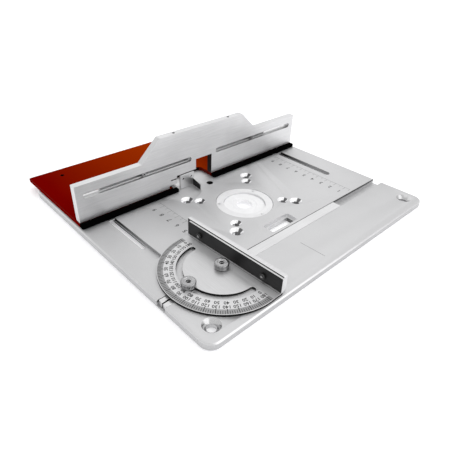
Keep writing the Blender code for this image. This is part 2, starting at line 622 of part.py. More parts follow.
def build_clamps(fence, nut_axes, mats):
    """Key, square-headed bolt, washer and ribbed nut at each base slot."""
    washer_top = ON_FENCE + WASHER_T
    for sign, side in ((-1, "left"), (1, "right")):
        x = sign * BASE_SLOT_X
        bm = bmesh.new()
        half = BASE_SLOT_W / 2 - GAP
        add_prism(bm, rounded(x - half, x + half, FENCE_Y0 + KEY_FRONT, FENCE_Y0 + KEY_FRONT + KEY_LONG,
                              KEY_CORNER, 3),
                  -KEY_T, 0)
        key = make_object("slot_key_" + side, bm, mats["bright"], fence)
        bm = bmesh.new()
        add_turned(bm, hole_profile(BOLT_R + GAP, OVER, -KEY_T - OVER), SMALL_SIDES, (x, BOLT_Y, 0))
        cut(key, "cut_key_" + side, bm)

        bm = bmesh.new()
        head_low = -PLATE_T + GAP
        shank_low = head_low + BOLT_HEAD_T
        half = BOLT_HEAD / 2
        add_prism(bm, box(-half, half, -half, half), head_low, shank_low)
        bolt = make_object("clamp_bolt_" + side, bm, mats["steel"], fence, (x, BOLT_Y, 0))
        bm = bmesh.new()
        add_turned(bm, [(0, shank_low - BOLT_HEAD_T / 2), (BOLT_R, shank_low - BOLT_HEAD_T / 2),
                        (BOLT_R, BOLT_TOP - FINE_CHAMFER), (BOLT_R - FINE_CHAMFER, BOLT_TOP), (0, BOLT_TOP)],
                   SMALL_SIDES)
        join(bolt, "shank_of_bolt_" + side, bm, (x, BOLT_Y, 0))

        bm = bmesh.new()
        add_turned(bm, [(BOLT_R + GAP, ON_FENCE), (CLAMP_WASHER_R, ON_FENCE), (CLAMP_WASHER_R, washer_top),
                        (BOLT_R + GAP, washer_top)], BIG_SIDES)
        make_object("clamp_washer_" + side, bm, mats["steel"], fence, (x, BOLT_Y, 0))

        bm = bmesh.new()
        ribs = 2 * CLAMP_NUT_RIBS
        radii = [CLAMP_NUT_R - RIB_DEPTH * (i % 2) for i in range(ribs)]
        outline = [(r * math.cos(2 * math.pi * i / ribs), r * math.sin(2 * math.pi * i / ribs))
                   for i, r in enumerate(radii)]
        add_prism(bm, outline, washer_top + GAP, washer_top + GAP + CLAMP_NUT_H)
        nut = make_object("clamp_nut_" + side, bm, mats["black"], nut_axes[side])
        bevel(nut, FINE_CHAMFER)
        bm = bmesh.new()
        add_turned(bm, hole_profile(BOLT_R + GAP, washer_top + CLAMP_NUT_H + 2 * OVER, washer_top - OVER),
                   SMALL_SIDES)
        cut(nut, "cut_nut_" + side, bm)


def tab_screw_place():
    """Screw of the bracket's tab, between the tab's end and the base's notch."""
    return (-(BRACKET_LEFT + BRACKET_TAB + NOTCH_LEFT) / 2, FACE_Y0 + BRACKET_TAB_BACK / 2)


def build_bracket(fence, mats):
    """Bent sheet bracket beside the cutter: a tab, an upright leg and an arm to the front."""
    back = FACE_Y0 - BRACKET_SET
    front = back - BRACKET_T
    tip = back - BRACKET_ARM
    left, right = -BRACKET_LEFT, -BRACKET_RIGHT
    bm = bmesh.new()
    add_prism(bm, [(left, front), (right - BRACKET_T, front), (right - BRACKET_T - BRACKET_ARM_IN, tip),
                   (right - BRACKET_ARM_IN, tip), (right, front), (right, back), (left, back)],
              BRACKET_FLOAT, BRACKET_TOP)
    bracket = make_object("stop_bracket", bm, mats["bright"], fence)
    bm = bmesh.new()
    add_prism(bm, [(tip - OVER, BRACKET_ARM_TIP), (front - GAP, BRACKET_ARM_TOP),
                   (front - GAP, BRACKET_TOP + OVER),
                   (tip - OVER, BRACKET_TOP + OVER)],
              right - 2 * BRACKET_T - BRACKET_ARM_IN, right + OVER, "YZ")
    cut(bracket, "cut_arm_top", bm)
    bm = bmesh.new()
    for inset in BRACKET_HOLES_IN:
        add_prism(bm, arc(left + inset, BRACKET_HOLE_Z, BRACKET_HOLE_R, 0, 2 * math.pi, TINY_SIDES)[:-1],
                  front - OVER, back + OVER, "XZ")
    cut(bracket, "cut_leg_holes", bm)
    bm = bmesh.new()
    add_prism(bm, box(left - BRACKET_TAB, left + BRACKET_LAP, front + GAP, FACE_Y0 + BRACKET_TAB_BACK),
              ON_FENCE, ON_FENCE + BRACKET_TAB_T)
    join(bracket, "tab_of_bracket", bm)
    bm = bmesh.new()
    add_turned(bm, hole_profile(SMALL_SCREW_R + GAP, ON_FENCE + BRACKET_TAB_T + OVER, ON_FENCE - OVER),
               TINY_SIDES, (*tab_screw_place(), 0))
    cut(bracket, "cut_tab_hole", bm)
    seat = ON_FENCE + BRACKET_TAB_T + GAP
    profile = screw_profile(SMALL_SCREW_R, GAP, TAB_HEAD_R, seat, seat + TAB_HEAD_H, FLAT_DOME)
    add_screw("bracket_screw", fence, mats["steel"], (*tab_screw_place(), 0), profile,
              (SMALL_SOCKET, SMALL_SOCKET_DEPTH / 2))


# ---------------------------------------------------------------- miter gauge
def build_bar(slide, mats):
    """The gauge's bar, split at its left end so that a screw can spread it."""
    half = MITER_SLOT_W / 2 - GAP
    low, high = -MITER_SLOT_DEPTH + GAP, -BAR_TOP
    bm = bmesh.new()
    add_prism(bm, box(BAR_X0, BAR_X0 + BAR_LONG, MITER_SLOT_Y - half, MITER_SLOT_Y + half), low, high)
    bar = make_object("miter_bar", bm, mats["bright"], slide)
    bevel(bar, FINE_CHAMFER)
    bm = bmesh.new()
    kerf = BAR_KERF_W / 2
    add_prism(bm, box(BAR_X0 - OVER, BAR_X0 + BAR_KERF_LONG, MITER_SLOT_Y - kerf, MITER_SLOT_Y + kerf),
              low - OVER, high + OVER)
    cut(bar, "cut_kerf", bm)
    bm = bmesh.new()
    for x, r in ((BAR_X0 + FIT_SCREW_IN, FIT_SCREW_R), (PIVOT_X, GAUGE_SCREW_R),
                 (PIVOT_X - ARC_R, GAUGE_SCREW_R)):
        add_turned(bm, hole_profile(r + GAP, high + OVER, low - OVER), SMALL_SIDES, (x, MITER_SLOT_Y, 0))
    cut(bar, "cut_bar_holes", bm)
    profile = [(0, low + GAP), (FIT_SCREW_R, low + GAP), (FIT_SCREW_R, high - GAP), (0, high - GAP)]
    add_screw("bar_fit_screw", slide, mats["steel"], (BAR_X0 + FIT_SCREW_IN, MITER_SLOT_Y, 0), profile,
              (SMALL_SOCKET, FIT_SOCKET_DEPTH))


def build_dial(head, mat):
    """Half-round dial plate with an arc slot and an upturned flange along its straight side."""
    bm = bmesh.new()
    far = DIAL_TO_FENCE + FLANGE_T
    outline = [(far, -DIAL_R), (far, DIAL_R)] + arc(0, 0, DIAL_R, math.pi / 2, 1.5 * math.pi, 48)
    add_prism(bm, outline, GAP, DIAL_TOP)
    dial = make_object("dial_plate", bm, mat, head)
    bm = bmesh.new()
    add_prism(bm, box(DIAL_TO_FENCE, far, -DIAL_R, DIAL_R), GAP + DIAL_T / 2, FLANGE_H)
    join(dial, "flange_of_dial", bm)
    bm = bmesh.new()
    start, end = math.pi - ARC_HALF, math.pi + ARC_HALF
    r0, r1 = ARC_R - ARC_W / 2, ARC_R + ARC_W / 2
    outline = (arc(0, 0, r1, start, end, 40)
               + arc(ARC_R * math.cos(end), ARC_R * math.sin(end), ARC_W / 2, end, end + math.pi, 6)[1:-1]
               + arc(0, 0, r0, end, start, 40)
               + arc(ARC_R * math.cos(start), ARC_R * math.sin(start), ARC_W / 2, start + math.pi,
                     start + 2 * math.pi, 6)[1:-1])
    add_prism(bm, outline, -OVER, DIAL_TOP + OVER)
    cut(dial, "cut_arc_slot", bm)
    bm = bmesh.new()
    add_turned(bm, hole_profile(GAUGE_SCREW_R + GAP, DIAL_TOP + OVER, -OVER), SMALL_SIDES)
    cut(dial, "cut_pivot_hole", bm)
    bm = bmesh.new()
    for y in gauge_fence_screws():
        screw_hole = bmesh.new()
        add_turned(screw_hole, hole_profile(SMALL_SCREW_R + GAP, FLANGE_T + OVER, -OVER), TINY_SIDES)
        lie_along_x(screw_hole)
        bmesh.ops.translate(screw_hole, verts=screw_hole.verts, vec=(DIAL_TO_FENCE, y, GAUGE_FENCE_SCREW_Z))
        merge_into(bm, screw_hole)
    cut(dial, "cut_flange_holes", bm)


def merge_into(bm, other):
    """Move the shapes of one bmesh into another."""
    mesh = bpy.data.meshes.new("carrier")
    other.to_mesh(mesh)
    other.free()
    bm.from_mesh(mesh)
    bpy.data.meshes.remove(mesh)


def gauge_fence_screws():
    """Places of the gauge fence's screws along it."""
    return (GAUGE_FENCE_SHIFT - GAUGE_FENCE_SCREW, GAUGE_FENCE_SHIFT + GAUGE_FENCE_SCREW)


def build_gauge_fence(head, mats):
    """The straight fence of the gauge and the two screws that hold it to the flange."""
    x0 = DIAL_TO_FENCE + FLANGE_T + GAP
    mid, half = GAUGE_FENCE_SHIFT, GAUGE_FENCE_LONG / 2
    bm = bmesh.new()
    add_prism(bm, box(x0, x0 + GAUGE_FENCE_T, mid - half, mid + half), GAP, GAUGE_FENCE_H)
    fence = make_object("gauge_fence", bm, mats["plate"], head)
    bevel(fence, FINE_CHAMFER)
    bm = bmesh.new()
    for y in gauge_fence_screws():
        screw_hole = bmesh.new()
        add_turned(screw_hole, hole_profile(SMALL_SCREW_R + GAP, SCREW_BITE + 2 * GAP, -OVER), TINY_SIDES)
        lie_along_x(screw_hole)
        bmesh.ops.translate(screw_hole, verts=screw_hole.verts, vec=(x0, y, GAUGE_FENCE_SCREW_Z))
        merge_into(bm, screw_hole)
    cut(fence, "cut_gauge_fence_holes", bm)
    profile = screw_profile(SMALL_SCREW_R, -(FLANGE_T + GAP + SCREW_BITE), SMALL_HEAD_R,
                            GAP, GAP + SMALL_HEAD_H,
                            SMALL_DOME)
    for number, y in enumerate(gauge_fence_screws(), 1):
        add_screw(f"gauge_fence_screw_{number}", head, mats["steel"], (DIAL_TO_FENCE, y, GAUGE_FENCE_SCREW_Z),
                  profile, (SMALL_SOCKET, SMALL_SOCKET_DEPTH), lie=lambda shape: lie_along_x(shape, -1))


def build_gauge_screw(name, axis, bar_frame, mats):
    """A large socket screw and its washer on the dial."""
    washer_low = DIAL_TOP + GAP
    washer_high = washer_low + GAUGE_WASHER_T
    place = axis.location
    bm = bmesh.new()
    add_turned(bm, [(GAUGE_SCREW_R + GAP, washer_low), (GAUGE_WASHER_R, washer_low),
                    (GAUGE_WASHER_R, washer_high), (GAUGE_SCREW_R + GAP, washer_high)], BIG_SIDES)
    make_object(name + "_washer", bm, mats["steel"], bar_frame, place)
    seat = washer_high + GAP
    profile = screw_profile(GAUGE_SCREW_R, -MITER_SLOT_DEPTH + 2 * GAP, GAUGE_HEAD_R, seat,
                            seat + GAUGE_HEAD_H, LARGE_DOME)
    add_screw(name + "_screw", axis, mats["steel"], (0, 0, 0), profile,
              (SOCKET_FLATS, SOCKET_DEPTH), BIG_SIDES)


# ---------------------------------------------------------------- whole object
def main():
    """Build the router table."""
    clear_scene()
    mats = {
        "plate": make_material("plate_aluminium", (0.56, 0.56, 0.57), 0.42, 0.9),
        "face": make_material("face_aluminium", (0.66, 0.66, 0.66), 0.32, 0.9),
        "red": make_material("red_anodised", (0.30, 0.012, 0.004), 0.38, 0.7),
        "bright": make_material("bright_aluminium", (0.78, 0.78, 0.79), 0.28, 0.95),
        "ring": make_material("milky_plastic", (0.80, 0.80, 0.80), 0.45, 0.0),
        "steel": make_material("zinc_steel", (0.62, 0.62, 0.64), 0.22, 1.0),
        "dial": make_material("dial_aluminium", (0.70, 0.71, 0.71), 0.40, 0.85),
        "black": make_material("black_nut", (0.03, 0.03, 0.032), 0.50, 0.1),
    }
    middle_y = (min(0, FENCE_Y0) + max(PLATE_D, FENCE_Y1)) / 2
    frame = make_empty("frame", None, (0, -middle_y, PLATE_T))
    fence = make_empty("fence_slide", frame, (0, 0, 0))
    face = make_empty("face_shift", fence, (0, 0, 0))
    nut_axes = {side: make_empty("nut_axis_" + side, fence, (sign * BASE_SLOT_X, BOLT_Y, 0))
                for sign, side in ((-1, "left"), (1, "right"))}
    slide = make_empty("miter_slide", frame, (0, 0, 0))
    head = make_empty("miter_swing", slide, (PIVOT_X, MITER_SLOT_Y, 0), HEAD_TURN)
    pivot_axis = make_empty("pivot_axis", slide, (PIVOT_X, MITER_SLOT_Y, 0))
    lock_axis = make_empty("lock_axis", slide, (PIVOT_X - ARC_R, MITER_SLOT_Y, 0))

    build_plate(frame, mats["plate"])
    build_rings(frame, mats["ring"], mats["steel"])
    build_fence_base(fence, mats["red"])
    build_face(face, mats["face"])
    build_angle(fence, mats["bright"], -1, "fence_angle_left")
    build_angle(fence, mats["bright"], 1, "fence_angle_right")
    build_angle_screws(fence, mats["steel"])
    build_face_screws(fence, mats["steel"])
    build_clamps(fence, nut_axes, mats)
    build_bracket(fence, mats)
    build_bar(slide, mats)
    build_dial(head, mats["dial"])
    build_gauge_fence(head, mats)
    build_gauge_screw("pivot", pivot_axis, slide, mats)
    build_gauge_screw("lock", lock_axis, slide, mats)


main()
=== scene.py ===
"""Bench-top router table: the finished look of every piece, built over the CAD frame.

Sizes are in millimetres from the plate's middle (x), front edge (y) and top (z).
"""

import logging
import math
from collections.abc import Callable, Iterable, Sequence
from dataclasses import dataclass, replace
from enum import Enum

import bmesh
import bpy
from mathutils import Matrix, Vector


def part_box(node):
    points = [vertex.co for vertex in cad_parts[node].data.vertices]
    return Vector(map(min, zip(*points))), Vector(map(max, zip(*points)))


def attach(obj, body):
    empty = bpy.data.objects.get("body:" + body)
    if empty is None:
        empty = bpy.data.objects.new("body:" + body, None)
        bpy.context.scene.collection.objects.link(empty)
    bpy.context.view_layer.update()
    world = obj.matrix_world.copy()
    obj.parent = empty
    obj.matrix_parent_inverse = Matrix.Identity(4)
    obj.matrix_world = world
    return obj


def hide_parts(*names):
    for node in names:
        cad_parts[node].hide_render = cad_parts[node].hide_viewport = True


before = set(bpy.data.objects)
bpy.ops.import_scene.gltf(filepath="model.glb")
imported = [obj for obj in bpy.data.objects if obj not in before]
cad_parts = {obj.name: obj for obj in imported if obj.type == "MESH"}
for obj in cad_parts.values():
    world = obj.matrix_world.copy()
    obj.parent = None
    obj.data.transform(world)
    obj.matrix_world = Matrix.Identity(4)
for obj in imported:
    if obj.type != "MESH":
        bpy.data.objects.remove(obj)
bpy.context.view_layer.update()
LOG = logging.getLogger("router_table")

Spot = tuple[float, float, float]
Colour = tuple[float, float, float]
Span = tuple[float, float]
Hole = tuple[float, float, float, float]
Piece = bpy.types.Object
Choice = Callable[[Vector, Vector], bool]

MM = 0.001  # one millimetre in metres
NEAR = 1e-5  # places closer than this, in metres, are the same
OVER = 1.0  # how far a cutter reaches past what it cuts
SLIVER = 0.03  # how thick print and engraving are
SHARP = math.radians(32)  # faces that meet more sharply than this make an edge
PLATE_LOW, PLATE_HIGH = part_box("table_plate")
ORIGIN = Vector((0.0, PLATE_LOW.y, PLATE_HIGH.z))

MITER_Y = 45.0  # the middle of the slot that the gauge runs in
PIVOT_X, LOCK_X = -74.7, -103.3
RING_Y = 97.5
RING_HOLES = tuple((21.8 * math.cos(a), RING_Y + 21.8 * math.sin(a))
                   for a in map(math.radians, (265, 25, 145)))
CLAMP_X, CLAMP_Y = 99.4, 178.0
FOOT_HOLE_Y = 165.05  # the row of screws through the angles' feet
FACE_SLOT_Z = 24.8
SIDES = (-1, 1)


# ------------------------------------------------------------------ finishes
class Grain(Enum):
    """How the surface texture runs: its stretch along x, y and z."""

    BLASTED = (1.0, 1.0, 1.0)
    BRUSHED_X = (0.02, 1.0, 1.0)
    BRUSHED_Y = (1.0, 0.02, 1.0)
    TURNED = (1.0, 1.0, 0.05)
    CLOUDY = (0.25, 0.25, 0.25)


@dataclass(frozen=True)
class Fade:
    """A slow change of colour along one axis, in metres of the shared frame."""

    axis: int
    start: float
    end: float
    colour: Colour


@dataclass(frozen=True)
class Finish:
    """A procedural surface: two tones, a grain, its roughness and its relief."""

    name: str
    dark: Colour
    light: Colour
    metallic: float
    rough: Span
    grain: Grain
    fineness: float = 2200.0
    relief: float = 0.06
    fades: tuple[Fade, ...] = ()
    glow: float = 0.0
    specular: float = 0.5

    def material(self) -> bpy.types.Material:
        """Builds the node material once and hands it out again afterwards.

        Returns:
            The material that carries this finish.
        """
        made = bpy.data.materials.get(self.name)
        if made:
            return made
        mat = bpy.data.materials.new(self.name)
        mat.use_nodes = True
        tree = mat.node_tree
        shader = tree.nodes["Principled BSDF"]
        shader.inputs["Metallic"].default_value = self.metallic
        shader.inputs["Specular IOR Level"].default_value = self.specular
        place = tree.nodes.new("ShaderNodeTexCoord")
        stretch = tree.nodes.new("ShaderNodeMapping")
        stretch.inputs["Scale"].default_value = self.grain.value
        tree.links.new(place.outputs["Object"], stretch.inputs["Vector"])
        fine = self._noise(tree, stretch.outputs["Vector"], self.fineness, 4.0)
        broad = self._noise(tree, place.outputs["Object"], 24.0, 3.0)
        blend = self._mix(tree, 0.45, fine, broad)
        tone = tree.nodes.new("ShaderNodeValToRGB")
        tone.color_ramp.elements[0].position = 0.36
        tone.color_ramp.elements[0].color = (*self.dark, 1.0)
        tone.color_ramp.elements[1].position = 0.64
        tone.color_ramp.elements[1].color = (*self.light, 1.0)
        tree.links.new(blend, tone.inputs["Fac"])
        colour = tone.outputs["Color"]
        for fade in self.fades:
            colour = self._faded(tree, place.outputs["Object"], colour, fade)
        tree.links.new(colour, shader.inputs["Base Color"])
        if self.glow:
            tree.links.new(colour, shader.inputs["Emission Color"])
            shader.inputs["Emission Strength"].default_value = self.glow
        sheen = tree.nodes.new("ShaderNodeMapRange")
        sheen.inputs["From Min"].default_value = 0.3
        sheen.inputs["From Max"].default_value = 0.7
        sheen.inputs["To Min"].default_value = self.rough[0]
        sheen.inputs["To Max"].default_value = self.rough[1]
        tree.links.new(blend, sheen.inputs["Value"])
        tree.links.new(sheen.outputs["Result"], shader.inputs["Roughness"])
        bump = tree.nodes.new("ShaderNodeBump")
        bump.inputs["Strength"].default_value = self.relief
        bump.inputs["Distance"].default_value = 0.0001
        tree.links.new(fine, bump.inputs["Height"])
        tree.links.new(bump.outputs["Normal"], shader.inputs["Normal"])
        return mat

    @staticmethod
    def _noise(tree: bpy.types.NodeTree, vector: bpy.types.NodeSocket, scale: float,
               detail: float) -> bpy.types.NodeSocket:
        """Adds one noise to a material.

        Args:
            tree: The material's nodes.
            vector: Where the noise is read.
            scale: How fine it is.
            detail: How many finer layers it has.

        Returns:
            Its grey output.
        """
        noise = tree.nodes.new("ShaderNodeTexNoise")
        noise.inputs["Scale"].default_value = scale
        noise.inputs["Detail"].default_value = detail
        tree.links.new(vector, noise.inputs["Vector"])
        return noise.outputs["Fac"]

    @staticmethod
    def _mix(tree: bpy.types.NodeTree, share: float, first: bpy.types.NodeSocket,
             second: bpy.types.NodeSocket) -> bpy.types.NodeSocket:
        """Blends two greys in a fixed share.

        Args:
            tree: The material's nodes.
            share: How much of the second grey shows.
            first: The first grey.
            second: The second grey.

        Returns:
            The blend.
        """
        mix = tree.nodes.new("ShaderNodeMix")
        mix.inputs["Factor"].default_value = share
        tree.links.new(first, mix.inputs["A"])
        tree.links.new(second, mix.inputs["B"])
        return mix.outputs["Result"]

    @staticmethod
    def _faded(tree: bpy.types.NodeTree, vector: bpy.types.NodeSocket,
               colour: bpy.types.NodeSocket, fade: Fade) -> bpy.types.NodeSocket:
        """Turns a colour gradually into the fade's colour along its axis.

        Args:
            tree: The material's nodes.
            vector: Object coordinates.
            colour: The colour before the fade.
            fade: Where the change starts and ends, and what it ends in.

        Returns:
            The faded colour.
        """
        split = tree.nodes.new("ShaderNodeSeparateXYZ")
        tree.links.new(vector, split.inputs["Vector"])
        reach = tree.nodes.new("ShaderNodeMapRange")
        reach.inputs["From Min"].default_value = fade.start
        reach.inputs["From Max"].default_value = fade.end
        tree.links.new(split.outputs[fade.axis], reach.inputs["Value"])
        mix = tree.nodes.new("ShaderNodeMix")
        mix.data_type = "RGBA"
        mix.inputs[7].default_value = (*fade.colour, 1.0)
        tree.links.new(reach.outputs["Result"], mix.inputs[0])
        tree.links.new(colour, mix.inputs[6])
        return mix.outputs[2]


def grey(value: float) -> Colour:
    """Gives a neutral colour, 0 to 1 on a linear scale."""
    return (value, value, value * 1.01)


# Blasted aluminium. Its colour turns lighter over the last 35 mm towards the front edge: painted light.
BLASTED = Finish("blasted_aluminium", grey(0.575), grey(0.645), 0.85, (0.50, 0.60), Grain.BLASTED,
                 fades=(Fade(1, ORIGIN.y + 0.035, ORIGIN.y, grey(0.64)),))
CUT_EDGE = Finish("bright_cut_edge", grey(0.64), grey(0.74), 0.9, (0.26, 0.38), Grain.BLASTED, 1500.0)
MILLED = Finish("milled_aluminium", grey(0.59), grey(0.70), 0.9, (0.28, 0.42), Grain.BRUSHED_X)
# A bright cut finish, lighter than the milled one. In the ring seat and the window pocket it cancels their
# shade: painted light.
BRIGHT_CUT_PAINTED_LIGHT = Finish("bright_cut_and_painted_light", grey(0.70), grey(0.80), 0.6, (0.35, 0.45), Grain.BLASTED, 1500.0)
# The router holes' countersinks: bright turned metal that also glows a little. The glow is painted light.
SINK_GLOW = Finish("countersink_painted_glow", grey(0.82), grey(0.96), 0.85, (0.22, 0.32), Grain.TURNED, glow=0.14)
SINK_SHADE = Finish("countersink_shade", grey(0.10), grey(0.18), 0.8, (0.25, 0.35), Grain.TURNED)
CORNER_SINK = Finish("corner_countersink", grey(0.48), grey(0.62), 0.95, (0.18, 0.26), Grain.TURNED)
DARK_STEEL = Finish("dark_steel", grey(0.045), grey(0.10), 0.9, (0.22, 0.34), Grain.TURNED, 2600.0)
# Near black on the base slots' left-looking walls, easing to grey towards the front: painted shadow under the
# fence.
SLOT_WALL_SHADE = Finish("slot_wall_painted_shade", grey(0.006), grey(0.012), 0.2, (0.45, 0.6), Grain.BRUSHED_Y, specular=0.2,
                   fades=(Fade(1, ORIGIN.y + 0.138, ORIGIN.y + 0.104, grey(0.40)),))
# The plate's outer sides and the flush screws' sockets, painted darker than the top: painted shade.
PLATE_SIDE_SHADE = Finish("plate_side_painted_shade", grey(0.44), grey(0.52), 0.85, (0.35, 0.45), Grain.BRUSHED_X)
# The miter slot's rear wall, painted near black at its top and lighter further down: painted shade.
MITER_WALL_SHADE = Finish("miter_wall_painted_shade", grey(0.060), grey(0.10), 0.5, (0.4, 0.5), Grain.BRUSHED_X,
                    fades=(Fade(2, ORIGIN.z - 0.0014, ORIGIN.z - 0.0024, grey(0.55)),))
BRUSHED = Finish("brushed_face", grey(0.58), grey(0.71), 0.9, (0.34, 0.46), Grain.BRUSHED_X, 3000.0, 0.10)
# Red anodised. The red is painted lighter and more orange from the left end to the middle (painted light) and
# darker from the middle to the right (painted shade).
RED = Finish("red_anodised", (0.150, 0.0, 0.0), (0.180, 0.001, 0.0), 0.0, (0.36, 0.46), Grain.BLASTED,
             1800.0, 0.05, (Fade(0, -0.115, 0.000, (0.310, 0.027, 0.0)),
                            Fade(0, 0.000, 0.040, (0.120, 0.004, 0.0))), specular=0.0)
RED_EDGE = Finish("red_anodised_edge", (0.085, 0.002, 0.0), (0.115, 0.003, 0.0), 0.0, (0.4, 0.5),
                  Grain.BLASTED, specular=0.05)
# Near black on the red base's ledge in front of the face and on its front-looking sides: painted shade.
LEDGE_SHADE = Finish("shaded_ledge", grey(0.0008), grey(0.0016), 0.0, (0.6, 0.7), Grain.BLASTED,
                     specular=0.0)
MILKY = Finish("milky_ring", grey(0.78), grey(0.84), 0.0, (0.30, 0.42), Grain.CLOUDY, 900.0, 0.02)
# Paler milky plastic with a faint glow. The glow is painted light.
MILKY_PALE_GLOW = Finish("pale_ring_painted_glow", grey(0.84), grey(0.90), 0.0, (0.28, 0.38),
                    Grain.CLOUDY, 900.0, 0.02, glow=0.03)
STEEL = Finish("zinc_steel", grey(0.22), grey(0.52), 1.0, (0.18, 0.30), Grain.TURNED, 2600.0)
# Near black in sockets, bores, slits, slot walls and under the dial's rim: painted shade.
DARK_SHADE = Finish("dark_painted_shade", grey(0.004), grey(0.012), 0.2, (0.45, 0.6),
                Grain.BLASTED, 1200.0, specular=0.2)
SATIN = Finish("satin_dial", grey(0.55), grey(0.64), 0.85, (0.38, 0.48), Grain.BRUSHED_Y, 2600.0, 0.05)
RIM_BAND = Finish("dial_rim_band", grey(0.27), grey(0.34), 0.6, (0.40, 0.50), Grain.BLASTED)
NUMBER_BAND = Finish("dial_number_band", grey(0.60), grey(0.70), 0.5, (0.40, 0.50), Grain.BLASTED)
SHADED = Finish("shaded_satin", grey(0.040), grey(0.065), 0.95, (0.38, 0.50), Grain.BRUSHED_Y, 2600.0, 0.08)
INK = Finish("dark_ink", grey(0.002), grey(0.006), 0.0, (0.5, 0.65), Grain.BLASTED, 1500.0, specular=0.1)
FAINT_INK = Finish("engraving", grey(0.07), grey(0.11), 0.0, (0.5, 0.65),
                   Grain.BLASTED, 1500.0, specular=0.1)
FAINTER_INK = Finish("light_engraving", grey(0.19), grey(0.26), 0.2, (0.5, 0.65), Grain.BLASTED, 1500.0)
BLACK_NUT = Finish("black_ribbed_nut", grey(0.010), grey(0.022), 0.1, (0.42, 0.58), Grain.BLASTED, 1600.0)
FLOOR = Finish("pale_floor", grey(0.94), grey(0.96), 0.0, (0.85, 0.95), Grain.CLOUDY, 30.0, 0.01, glow=0.28)


# ------------------------------------------------------------------ bench tools
class Axis(Enum):
    """Which way a round primitive points, from its foot to its top."""

    UP = (0.0, 0.0, 1.0)
    RIGHT = (1.0, 0.0, 0.0)
    LEFT = (-1.0, 0.0, 0.0)
    BACK = (0.0, 1.0, 0.0)

    @property
    def vector(self) -> Vector:
        """The direction as a vector."""
        return Vector(self.value)


def at(x: float, y: float, z: float) -> Vector:
    """Gives the point, in the shared frame, of a place on the table."""
    return ORIGIN + Vector((x, y, z)) * MM


def room(node: str) -> tuple[Vector, Vector]:
    """Gives the lowest and highest corners of a CAD node as places on the table."""
    low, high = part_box(node)
    return (low - ORIGIN) / MM, (high - ORIGIN) / MM


